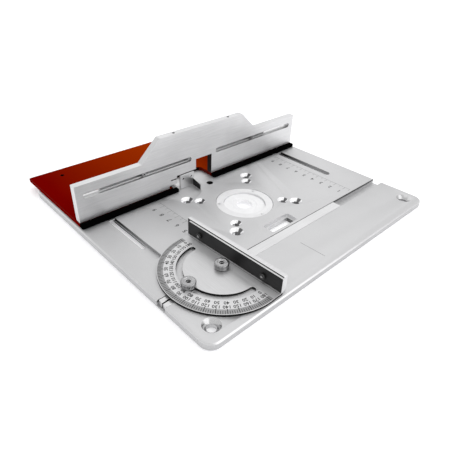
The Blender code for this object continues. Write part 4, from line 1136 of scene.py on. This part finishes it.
@dataclass(frozen=True)
class FenceBase:
    """The red anodised base plate with its slot keys and clamp parts."""

    half: float = 123.3
    front: float = 146.1
    rear: float = 245.6
    low: float = 0.3
    high: float = 3.5
    spare_hole: Span = (98.0, 232.8)
    foot_holes: tuple[float, ...] = (-91.0, -41.3, 35.2, 76.0)
    nut_r: float = 5.6
    rib: float = 7.5  # degrees that one rib, or one gap, of the nut takes up
    washer: Washer = Washer(5.2, 2.3, 0.8)

    def build(self) -> None:
        """Models the base and the clamp on each side."""
        base = Bench.block("base_plate", (-self.half, self.front, self.low),
                           (self.half, self.rear, self.high))
        Bench.upright_edges(base, 1.2, 3)
        notch = Bench.block("notch", (-32, self.front - 9, self.low - OVER), (9.4, 168.6, self.high + OVER))
        inside = at(0, 160, 0).y
        Bench.round_edges(notch, lambda a, b: abs(a.z - b.z) > NEAR and min(a.y, b.y) > inside, 4.0, 6)
        tools = [notch]
        for s in SIDES:
            tools.append(Bench.rod("bolt_hole", (s * CLAMP_X, CLAMP_Y, -1), 2.3, 6))
            x, y = self.spare_hole
            tools.append(Bench.rod("spare_hole", (s * x, y, -1), 1.7, 6, sides=32))
        for x in self.foot_holes:
            tools.append(Bench.rod("foot_hole", (x, FOOT_HOLE_Y, -1), 1.5, 6, sides=24))
        Bench.cut(base, tools, RED_EDGE)
        # The ledge in front of the face and the front-looking sides are painted near black: painted shade.
        ledge = at(0, 150.9, 0).y
        Bench.score(base, Vector((0, ledge, 0)), Axis.BACK)
        Bench.break_edges(Bench.paint(base, RED, RED_EDGE, LEDGE_SHADE), 0.25, edge_slot=1)
        Bench.paint_faces(base, 2, lambda c, n: c.y < ledge or n.y < -0.7)
        Bench.hand_over(base, "fence", "red", "fence_base")
        for side, s in (("left", -1), ("right", 1)):
            self._clamp(side, s * CLAMP_X)

    def _clamp(self, side: str, x: float) -> None:
        """Models the key, bolt, washer and nut of one side.

        Args:
            side: Which side, left or right.
            x: Where the bolt stands.
        """
        self._key(side, x)
        self._bolt(side, x)
        washer = self.washer.build("washer_" + side, (x, CLAMP_Y, 3.8))
        Bench.hand_over(washer, "fence", "steel", "clamp_washer_" + side)
        self._nut(side, x)

    @staticmethod
    def _key(side: str, x: float) -> None:
        """Models the key that guides the base in its slot.

        Args:
            side: Which side, left or right.
            x: The slot's middle.
        """
        key = Bench.block("key_" + side, (x - 2.95, 144.6, -2.0), (x + 2.95, 185.5, 0.0))
        Bench.upright_edges(key, 1.0, 4)
        Bench.cut(key, [Bench.rod("hole", (x, CLAMP_Y, -4), 2.3, 6)])
        Bench.break_edges(Bench.paint(key, MILLED, CUT_EDGE), 0.15, edge_slot=1)
        Bench.hand_over(key, "fence", "bright", "slot_key_" + side)

    @staticmethod
    def _bolt(side: str, x: float) -> None:
        """Models the square-headed bolt, its top grooved like a thread.

        Args:
            side: Which side, left or right.
            x: Where the bolt stands.
        """
        bolt = Bench.rod("bolt_" + side, (x, CLAMP_Y, -5.0), 2.0, 18.5, sides=32)
        head = Bench.block("head", (x - 3.5, CLAMP_Y - 3.5, -5.7), (x + 3.5, CLAMP_Y + 3.5, -4.2))
        Bench.weld(bolt, head)
        grooves = [Bench.rod("groove", (x, CLAMP_Y, 11.2 + 0.5 * n), 2.2, 0.16, sides=32) for n in range(4)]
        for groove in grooves:
            Bench.cut(groove, [Bench.rod("core", (x, CLAMP_Y, 10.0), 1.8, 5.0, sides=32)])
        Bench.cut(bolt, grooves)
        Bench.break_edges(Bench.paint(bolt, STEEL), 0.1)
        Bench.hand_over(bolt, "fence", "steel", "clamp_bolt_" + side)

    def _nut(self, side: str, x: float) -> None:
        """Models the ribbed thumb nut.

        Args:
            side: Which side, left or right.
            x: Where the nut stands.
        """
        nut = Bench.rod("nut_" + side, (x, CLAMP_Y, 4.9), self.nut_r, 6.0, sides=int(360 / self.rib))
        centre = at(x, CLAMP_Y, 0)
        Bench.pick(nut, faces=lambda c, n: abs(n.z) < 0.1 and int(round(
            math.degrees(math.atan2(c.y - centre.y, c.x - centre.x)) / self.rib - 0.5)) % 2 == 0)
        bpy.ops.mesh.extrude_region_move()
        bpy.ops.transform.shrink_fatten(value=0.36 * MM)
        Bench.done()
        Bench.cut(nut, [Bench.rod("bore", (x, CLAMP_Y, 3.0), 2.3, 9.0, sides=32)])
        Bench.break_edges(Bench.paint(nut, BLACK_NUT), 0.12)
        Bench.hand_over(nut, "nut_" + side, "nut", "clamp_nut_" + side)


@dataclass(frozen=True)
class FenceFace:
    """The tall brushed face with its raised middle, slots and cutter window."""

    half: float = 122.7
    front: float = 150.7
    rear: float = 156.5
    low: float = 3.8
    shoulder: float = 34.4
    high: float = 51.9
    crest_foot: float = 65.0  # half the crest's length where it leaves the shoulders
    crest_top: float = 46.4  # half its length along the top
    slot_ends: Span = (14.2, 117.0)
    slot_half: float = 2.1  # half the width of the slot's wider front step
    window_half: float = 9.2
    window_top: float = 23.1

    def build(self) -> None:
        """Models the face board and cuts its crest, window, notches and slots."""
        face = Bench.block("face_board", (-self.half, self.front, self.low),
                           (self.half, self.rear, self.high))
        Bench.cut(face, [self._shoulder(s) for s in SIDES])
        # The notch, the step and the slit get near-black walls, painted shade. The window's walls stay
        # milled.
        below = self.low - 9
        for name, ends, foot, top, finish in (
                ("window", (-self.window_half, self.window_half), below, self.window_top, MILLED),
                ("notch", (-30.6, -9.0), below, 13.5, DARK_SHADE), ("step", (-38.8, -30.4), below, 6.3, DARK_SHADE),
                ("slit", (-36.9, -30.4), 10.4, 11.4, DARK_SHADE)):
            opening = Bench.block(name, (ends[0], self.front - 9, foot), (ends[1], self.rear + 9, top))
            Bench.cut(face, [opening], finish)
        for half, rear in ((self.slot_half, self.front + 3.0), (1.5, self.rear + OVER)):
            Bench.cut(face, [self._slot(s, half, self.front - OVER, rear) for s in SIDES], MILLED)
        middle, foot = (self.front + self.rear) / 2, self.high - 6
        # The crest holes' walls are painted near black: painted shade.
        Bench.cut(face, [Bench.rod("crest_hole", (s * 30.6, middle, foot), 1.25, 6 + OVER, sides=24)
                         for s in SIDES], DARK_SHADE)
        Bench.paint(face, BRUSHED, CUT_EDGE, DARK_SHADE)
        # The slots' downward-looking walls are painted near black: painted shadow.
        lowest, highest = at(0, 0, FACE_SLOT_Z - 2.5).z, at(0, 0, FACE_SLOT_Z + 2.5).z
        Bench.paint_faces(face, 2, lambda c, n: n.z < -0.5 and lowest < c.z < highest)
        Bench.break_edges(face, 0.45, edge_slot=1)
        # The window's right jamb is painted near black: painted shade.
        jamb, lintel = at(self.window_half, 0, 0).x, at(0, 0, self.window_top).z
        Bench.paint_faces(face, 2, lambda c, n: n.x < -0.9 and abs(c.x - jamb) < 1e-4 and c.z < lintel)
        Bench.hand_over(face, "face", "face", "fence_face")

    def _shoulder(self, side: int) -> Piece:
        """Sets the cutter that leaves one sloping shoulder of the crest.

        Args:
            side: -1 for the left end, 1 for the right end.

        Returns:
            The cutter.
        """
        slope = (self.crest_foot - self.crest_top) / (self.high - self.shoulder)
        top = self.high + 8
        inner = self.crest_foot - slope * (top - self.shoulder)
        ends = sorted((side * inner, side * (self.half + 9)))
        tool = Bench.block("shoulder", (ends[0], self.front - 9, self.shoulder),
                           (ends[1], self.rear + 9, top))
        foot, edge = at(0, 0, self.shoulder).z, side * inner * MM
        return Bench.shift(tool, (side * (self.crest_foot - inner), 0, 0),
                           edges=lambda a, b: abs(a.x - edge) < NEAR and abs(b.x - edge) < NEAR
                           and max(a.z, b.z) < foot + NEAR)

    def _slot(self, side: int, half_width: float, front: float, rear: float) -> Piece:
        """Sets the cutter for one step of a long slot, its ends rounded.

        Args:
            side: -1 for the left slot, 1 for the right slot.
            half_width: Half the step's width.
            front: Where the cutter starts.
            rear: Where the cutter ends.

        Returns:
            The cutter.
        """
        narrower = self.slot_half - half_width
        ends = sorted((side * (self.slot_ends[0] + narrower), side * (self.slot_ends[1] - narrower)))
        tool = Bench.block("face_slot", (ends[0], front, FACE_SLOT_Z - half_width),
                           (ends[1], rear, FACE_SLOT_Z + half_width))
        return Bench.round_edges(tool, lambda a, b: abs(a.y - b.y) > NEAR, half_width - 0.005, 6)


@dataclass(frozen=True)
class FenceAngles:
    """The two angle brackets behind the face and their screws.

    Each side gives its leg's two ends and its foot's two ends along x.
    """

    legs: tuple[tuple[str, Span, Span], ...] = (
        ("left", (-100.0, -12.0), (-100.0, -32.3)), ("right", (12.0, 85.0), (26.2, 85.0)))
    low: float = 3.8
    foot_top: float = 6.3
    head_seat: float = 6.6
    inset: float = 0.4  # how far the foot's outer end stands back from the leg's
    face_screw_x: float = 62.7

    def build(self) -> None:
        """Models both angles with their screws."""
        for side, leg_ends, foot_ends in self.legs:
            places = (foot_ends[0] + 9.0, foot_ends[1] - 9.0)
            centre = math.copysign(self.face_screw_x, leg_ends[0])
            self._angle(side, leg_ends, foot_ends, [
                Bench.rod("face_hole", (centre, 155.0, FACE_SLOT_Z), 1.5, 6.0, Axis.BACK, 24),
                *(Bench.rod("foot_hole", (x, FOOT_HOLE_Y, 3.0), 1.5, 5.0, sides=24) for x in places)])
            for number, _ in enumerate(places, start=1):
                self._foot_screw(side, number)
            self._face_screw(side, centre)

    def _angle(self, side: str, leg_ends: Span, foot_ends: Span,
               holes: list[Piece]) -> None:
        """Models one angle: its leg, its shorter foot and its holes.

        Args:
            side: Which side, left or right.
            leg_ends: The leg's two ends along x.
            foot_ends: The foot's two ends along x.
            holes: The cutters of its holes.
        """
        leg = Bench.block("angle_" + side, (leg_ends[0], 156.8, self.low), (leg_ends[1], 159.3, 30.0))
        left, right = foot_ends
        if side == "left":
            left, free = left + self.inset, (right - self.inset, leg_ends[1] + OVER)
        else:
            right, free = right - self.inset, (leg_ends[0] - OVER, left + self.inset)
        Bench.weld(leg, Bench.block("foot", (left, 157.4, self.low), (right, 170.8, self.foot_top)))
        Bench.cut(leg, [Bench.block("clear", (free[0], 150.0, 3.0), (free[1], 175.0, 14.5))])
        Bench.cut(leg, holes)
        Bench.break_edges(Bench.paint(leg, MILLED, CUT_EDGE), 0.25, edge_slot=1)
        Bench.hand_over(leg, "fence", "bright", "fence_angle_" + side)

    def _foot_screw(self, side: str, number: int) -> None:
        """Models one screw through an angle's foot, inside its CAD room.

        Args:
            side: The angle's side.
            number: The screw's number, 1 or 2.
        """
        low, high = room(f"angle_screw_{side}_{number}")
        seat = self.head_seat
        screw = SocketScrew((high.x - low.x) / 2, high.z - seat, 0.4, 1.2, seat - low.z, 1.4, 0.7)
        piece = screw.build(f"foot_screw_{side}_{number}", ((low.x + high.x) / 2, FOOT_HOLE_Y, seat))
        Bench.hand_over(piece, "fence", "steel", f"angle_screw_{side}_{number}")

    def _face_screw(self, side: str, x: float) -> None:
        """Models one screw that holds the face to an angle, inside its CAD room.

        Args:
            side: The angle's side.
            x: Where the screw stands.
        """
        low, high = room("face_screw_" + side)
        front, z, way = low.y, FACE_SLOT_Z, Axis.BACK
        screw = Bench.rod("face_bolt_" + side, (x, front, z), 1.8, 1.8, way, 32)
        Bench.weld(screw, Bench.rod("shank", (x, front + 0.9, z), 1.2, high.y - front - 0.9, way, 24))
        # The hexagon socket is painted near black: painted shade.
        Bench.cut(screw, [Bench.rod("socket", (x, front - OVER, z), 0.8, OVER + 0.7, way, 6)], DARK_SHADE)
        Bench.break_edges(Bench.paint(screw, STEEL), 0.12)
        Bench.hand_over(screw, "fence", "steel", "face_screw_" + side)


@dataclass(frozen=True)
class StopBracket:
    """The little bright bracket left of the cutter and its screw."""

    left: float = -28.6
    right: float = -13.1
    sheet: float = 1.3
    front: float = 148.7
    tip: float = 136.8
    low: float = 0.5
    arm_top: float = 7.2
    head: float = 0.8

    def build(self) -> None:
        """Models the bracket and the screw in its tab."""
        low, high = room("bracket_screw")
        x, y, _ = (low + high) / 2
        leg = Bench.block("stop", (self.left, self.front, self.low),
                          (self.right, self.front + self.sheet, 13.2))
        Bench.weld(leg, self._arm(), Bench.block("tab", (-36.3, 149.2, 3.8), (-28.0, 155.5, 4.8)))
        # The leg's two holes are painted near black inside: painted shade.
        Bench.cut(leg, [Bench.rod("hole", (u, 147.0, 9.8), 0.9, 5.0, Axis.BACK, 24)
                        for u in (-25.4, -16.6)], DARK_SHADE)
        Bench.cut(leg, [Bench.rod("tab_hole", (x, y, 3.0), 1.5, 3.0, sides=24)])
        Bench.break_edges(Bench.paint(leg, MILLED, CUT_EDGE, SHADED), 0.15, edge_slot=1)
        root = at(-20.0, self.front - 0.2, 0)
        Bench.paint_faces(leg, len(leg.data.materials) - 1,
                          lambda c, n: n.x < -0.5 and c.x > root.x and c.y < root.y)
        Bench.hand_over(leg, "fence", "bright", "stop_bracket")
        seat = high.z - self.head
        screw = SocketScrew((high.x - low.x) / 2, self.head, 0.25, 1.2, seat - low.z, 1.2, 0.4)
        Bench.hand_over(screw.build("stop_screw", (x, y, seat)), "fence", "steel", "bracket_screw")

    def _arm(self) -> Piece:
        """Models the arm that points forward, bent a little to the left and sloping at its tip.

        Returns:
            The arm.
        """
        arm = Bench.block("arm", (self.right - self.sheet, self.tip, self.low),
                          (self.right, 149.5, self.arm_top))
        tip, rim = at(0, self.tip, 0).y, at(0, 0, self.arm_top).z
        Bench.shift(arm, (-self.sheet, 0, 0), faces=lambda c, n: n.y < -0.9 and abs(c.y - tip) < NEAR)
        return Bench.shift(arm, (0, 0, -1.7),
                           edges=lambda a, b: max(a.y, b.y) < tip + NEAR and min(a.z, b.z) > rim - NEAR)


@dataclass(frozen=True)
class GaugeBar:
    """The bar that slides in the miter slot, with its fit screw and washers."""

    left: float = -123.7
    right: float = 59.0
    half: float = 4.025
    low: float = -3.9
    high: float = -0.1
    kerf: float = 14.0  # how far the left end is slit
    kerf_half: float = 0.55
    fit_x: float = -115.7  # where the fit screw stands
    washer: Washer = Washer(4.8, 2.3, 0.8)

    def build(self) -> None:
        """Models the bar and what sits on it."""
        bar = Bench.block("gauge_bar", (self.left, MITER_Y - self.half, self.low),
                          (self.right, MITER_Y + self.half, self.high))
        Bench.upright_edges(bar, 0.6, 3)
        # The slit and the bores are painted near black inside: painted shade.
        Bench.cut(bar, [Bench.block("kerf", (self.left - OVER, MITER_Y - self.kerf_half, -5.0),
                                    (self.left + self.kerf, MITER_Y + self.kerf_half, OVER))], DARK_SHADE)
        Bench.cut(bar, [Bench.rod("bore", (x, MITER_Y, -5.0), radius, 6.0, sides=32)
                        for x, radius in ((PIVOT_X, 2.3), (LOCK_X, 2.3), (self.fit_x, 1.8))], DARK_SHADE)
        Bench.break_edges(Bench.paint(bar, MILLED, CUT_EDGE), 0.2, edge_slot=1)
        Bench.hand_over(bar, "gauge_bar", "bright", "miter_bar")
        self._fit_screw()
        for name, x in (("pivot_washer", PIVOT_X), ("lock_washer", LOCK_X)):
            washer = self.washer.build("disc_" + name, (x, MITER_Y, 2.4))
            Bench.hand_over(washer, "gauge_bar", "steel", name)

    def _fit_screw(self) -> None:
        """Models the headless screw that spreads the bar's slit end."""
        low, high = room("bar_fit_screw")
        x, y, deep = self.fit_x, MITER_Y, 1.2
        pin = Bench.rod("fit_pin", (x, y, low.z), (high.x - low.x) / 2, high.z - low.z, sides=32)
        # The socket is painted near black: painted shade.
        Bench.cut(pin, [Bench.rod("socket", (x, y, high.z - deep), 0.85, deep + OVER, sides=6)], DARK_SHADE)
        Bench.break_edges(Bench.paint(pin, STEEL), 0.12)
        Bench.hand_over(pin, "gauge_bar", "steel", "bar_fit_screw")


@dataclass(frozen=True)
class GaugeHead:
    """The half-round dial, its figures, and the short fence that it carries."""

    turned: float = math.radians(2.3)
    low: float = 0.3
    high: float = 2.1
    radius: float = 43.5
    flange_x: float = 10.7
    flange_t: float = 1.5
    flange_top: float = 13.6
    arc_r: float = 28.6
    arc_half: float = 2.2
    screws_v: Span = (-28.0, 32.0)
    screws_z: float = 6.8
    ink: float = 2.115  # the height of the printed marks' middle
    screw: SocketScrew = SocketScrew(2.2, 1.3, 0.5, 1.2, 3.0, 1.4, 0.7, Axis.LEFT, finish=DARK_STEEL)

    def spot(self, u: float, v: float, z: float) -> Spot:
        """Gives the table's place of a place in the head's own square frame."""
        return (PIVOT_X + u, MITER_Y + v, z)

    def set_turn(self, piece: Piece) -> Piece:
        """Turns a piece made square to the table to the head's own angle."""
        return Bench.turn(piece, (PIVOT_X, MITER_Y, 0.0), self.turned)

    def build(self) -> None:
        """Models the dial, prints it and hangs the fence on it."""
        self._dial()
        self._print()
        self._cross_fence()

    def _screw_bores(self, name: str, u: float, length: float) -> list[Piece]:
        """Sets the cutters of the two holes that the fence's screws pass.

        Args:
            name: The cutters' name.
            u: Where they start, to the right of the pivot.
            length: How long they are.

        Returns:
            The cutters.
        """
        return [Bench.rod(name, self.spot(u, v, self.screws_z), 1.5, length, Axis.RIGHT, 24)
                for v in self.screws_v]

    def _cross_fence(self) -> None:
        """Models the short fence on the dial's flange and its two screws."""
        fence = Bench.block("cross_fence", self.spot(11.0, -43.0, 0.3), self.spot(14.6, 47.0, 14.2))
        Bench.cut(fence, self._screw_bores("bore", 9.0, 6.0))
        Bench.paint(fence, MILLED, CUT_EDGE)
        Bench.break_edges(fence, 0.3, edge_slot=1)
        fence.data.materials.append(SHADED.material())
        Bench.paint_faces(fence, len(fence.data.materials) - 1, lambda c, n: n.x < -0.9)
        Bench.hand_over(self.set_turn(fence), "gauge_head", "bright", "gauge_fence")
        for number, v in enumerate(self.screws_v, start=1):
            screw = self.screw.build(f"cross_fence_screw_{number}", self.spot(8.9, v, self.screws_z))
            Bench.hand_over(self.set_turn(screw), "gauge_head", "steel", f"gauge_fence_screw_{number}")

    def _dial(self) -> None:
        """Models the half-round plate with its upturned flange and arc slot."""
        dial = Bench.rod("dial", self.spot(0, 0, self.low), self.radius, self.high - self.low, sides=160)
        pivot = at(*self.spot(0, 0, 0))
        flange = at(*self.spot(self.flange_x - self.flange_t, 0, self.high))
        Bench.score(dial, pivot, Axis.RIGHT, saw=True)
        Bench.pull_out(dial, (self.flange_x, 0, 0), lambda c, n: n.x > 0.9 and abs(c.x - pivot.x) < NEAR)
        Bench.score(dial, flange, Axis.RIGHT)
        Bench.pull_out(dial, (0, 0, self.flange_top - self.high), lambda c, n: n.z > 0.9 and c.x > flange.x)
        # The arc slot's walls are painted near black: painted shade.
        Bench.cut(dial, [self._arc_cutter()], DARK_SHADE)
        Bench.cut(dial, [Bench.rod("pivot_hole", self.spot(0, 0, -OVER), 2.3, 5.0, sides=32)])
        Bench.cut(dial, self._screw_bores("screw_hole", 7.0, 5.0))
        Bench.paint(dial, SATIN, CUT_EDGE, SHADED, DARK_SHADE)
        Bench.break_edges(dial, 0.18, edge_slot=1)
        Bench.paint_faces(dial, 2, lambda c, n: n.x < -0.9 and abs(c.x - flange.x) < 1e-4)
        # The rim's sides are painted near black: painted shadow under the dial's edge.
        Bench.paint_faces(dial, 3, lambda c, n: abs(n.z) < 0.3 and c.z < flange.z
                          and math.hypot(c.x - pivot.x, c.y - pivot.y) > (self.radius - 0.3) * MM)
        Bench.hand_over(self.set_turn(dial), "gauge_head", "dial", "dial_plate")

    def _arc_cutter(self) -> Piece:
        """Sets the half-circle cutter of the arc slot, its ends rounded.

        Returns:
            The cutter.
        """
        outer = Bench.rod("arc", self.spot(0, 0, -OVER), self.arc_r + self.arc_half, 5.0, sides=128)
        core = Bench.rod("core", self.spot(0, 0, -3.0), self.arc_r - self.arc_half, 9.0, sides=128)
        Bench.cut(outer, [core])
        Bench.score(outer, at(*self.spot(0, 0, 0)), Axis.RIGHT, saw=True)
        ends = [Bench.rod("end", self.spot(-0.9, s * (self.arc_r - 0.05), -OVER), self.arc_half - 0.02, 5.0,
                          sides=48) for s in SIDES]
        return Bench.weld(outer, *ends)

    def _print(self) -> None:
        """Prints the bands, the degree ticks and the two rows of figures."""
        for name, finish, inner, outer in (("rim_band", RIM_BAND, 39.2, 43.1),
                                           ("number_band", NUMBER_BAND, 31.6, 39.2)):
            band = Bench.rod(name, self.spot(0, 0, self.ink - 0.022), outer, 0.014, sides=160)
            Bench.cut(band, [Bench.rod("core", self.spot(0, 0, 0), inner, 5.0, sides=160)])
            Bench.score(band, at(*self.spot(2.0, 0, 0)), Axis.RIGHT, saw=True)
            Bench.hand_over(self.set_turn(Bench.smooth(Bench.paint(band, finish))), "gauge_head", "dial")
        ticks = []
        for step in range(0, 181, 2):
            ten = step % 10 == 0
            ticks.append(Bench.stroke("tick", self._round_spot(38.9 if ten else 40.4, step),
                                      self._round_spot(43.0, step), 0.42 if ten else 0.30))
        self._ink(ticks, "degree_ticks")
        self._ink([self._figure(text, radius, step) for step in range(0, 181, 10)
                   for text, radius in ((str(step), 37.1), (str(180 - step), 33.6))], "degree_figures")
        bend = Bench.stroke("bend", self.spot(7.9, -42.5, self.ink), self.spot(7.9, 42.5, self.ink), 0.35)
        Bench.hand_over(self.set_turn(Bench.paint(bend, FAINTER_INK)), "gauge_head", "dial")

    def _round_spot(self, radius: float, step: float) -> Spot:
        """Gives a printed place by its distance from the pivot and its degrees along the dial."""
        angle = math.radians(90 + step)
        return self.spot(radius * math.cos(angle), radius * math.sin(angle), self.ink)

    def _figure(self, text: str, radius: float, step: float) -> Piece:
        """Sets one figure on the dial, its top towards the rim."""
        return Bench.lettering("figure", text, 2.6, self._round_spot(radius, step), math.radians(step))

    def _ink(self, marks: list[Piece], name: str) -> None:
        """Joins printed marks into one piece on the head."""
        piece = Bench.label(Bench.join(marks), name)
        Bench.hand_over(self.set_turn(Bench.paint(piece, INK)), "gauge_head", "dial")


@dataclass(frozen=True)
class GaugeScrews:
    """The two large screws that hold and lock the dial."""

    seat: float = 3.5
    screw: SocketScrew = SocketScrew(5.1, 3.1, 0.9, 2.0, 7.1, 3.2, 1.4, rim=0.35)

    def build(self) -> None:
        """Models the pivot screw and the lock screw."""
        for name, x in (("pivot", PIVOT_X), ("lock", LOCK_X)):
            low, _ = room(name + "_screw")
            screw = replace(self.screw, shank=self.seat - low.z)
            piece = screw.build("big_screw_" + name, (x, MITER_Y, self.seat))
            Bench.hand_over(piece, name, "steel", name + "_screw")


@dataclass(frozen=True)
class Lamp:
    """One soft area light aimed at the table's middle."""

    name: str
    place: Spot
    size: float
    power: float

    def build(self) -> None:
        """Hangs the lamp."""
        data = bpy.data.lights.new(self.name, "AREA")
        data.shape = "SQUARE"
        data.size = self.size
        data.energy = self.power
        lamp = bpy.data.objects.new(self.name, data)
        bpy.context.scene.collection.objects.link(lamp)
        lamp.location = self.place
        lamp.rotation_euler = (-Vector(self.place)).to_track_quat("-Z", "Y").to_euler()


@dataclass(frozen=True)
class Studio:
    """The pale floor, the lamps, the surroundings and the matched camera."""

    eye: Spot = (-0.22766, -0.23588, 0.19062)
    right: Spot = (0.73882, -0.67335, 0.02722)
    down: Spot = (-0.36030, -0.42882, -0.82843)
    ahead: Spot = (0.56950, 0.60225, -0.55943)
    lens: float = 33.914
    shift: Span = (0.0125, -0.00016)
    surround: float = 0.86
    lamps: tuple[Lamp, ...] = (Lamp("back_light", (0.55, 0.60, 0.75), 1.3, 2.2),
                               Lamp("front_light", (0.25, -0.75, 0.45), 0.9, 2.0),
                               Lamp("top_light", (0.0, 0.05, 1.1), 0.6, 0.5))

    def build(self) -> None:
        """Sets the stage and the camera."""
        self._floor()
        self._world()
        for lamp in self.lamps:
            lamp.build()
        data = bpy.data.cameras.new("matched_camera")
        data.sensor_width = 36.0
        data.lens = self.lens
        data.shift_x, data.shift_y = self.shift
        data.clip_start = 0.01
        camera = bpy.data.objects.new("matched_camera", data)
        bpy.context.scene.collection.objects.link(camera)
        columns = [Vector(self.right), -Vector(self.down), -Vector(self.ahead)]
        camera.matrix_world = Matrix.Translation(self.eye) @ Matrix(columns).transposed().to_4x4()
        bpy.context.scene.camera = camera
        bpy.context.scene.view_settings.view_transform = "Standard"

    def _floor(self) -> None:
        """Lays the pale floor."""
        bpy.ops.object.select_all(action="DESELECT")
        bpy.ops.mesh.primitive_plane_add(size=12.0, location=(0, 0, -0.0003))
        floor = bpy.context.active_object
        floor.name = "floor"
        floor.data.materials.append(FLOOR.material())

    def _world(self) -> None:
        """Surrounds the table with an even pale light."""
        world = bpy.data.worlds.new("surround")
        bpy.context.scene.world = world
        world.use_nodes = True
        back = world.node_tree.nodes["Background"]
        back.inputs["Color"].default_value = (1.0, 1.0, 1.0, 1.0)
        back.inputs["Strength"].default_value = self.surround


def main() -> None:
    """Builds every sub-assembly in order."""
    logging.basicConfig(level=logging.INFO, format="%(message)s")
    for part in (TablePlate(), InsertRings(), FenceBase(), FenceFace(), FenceAngles(), StopBracket(),
                 GaugeBar(), GaugeHead(), GaugeScrews(), Studio()):
        LOG.info("building %s", type(part).__name__)
        part.build()


if __name__ == "__main__":
    main()
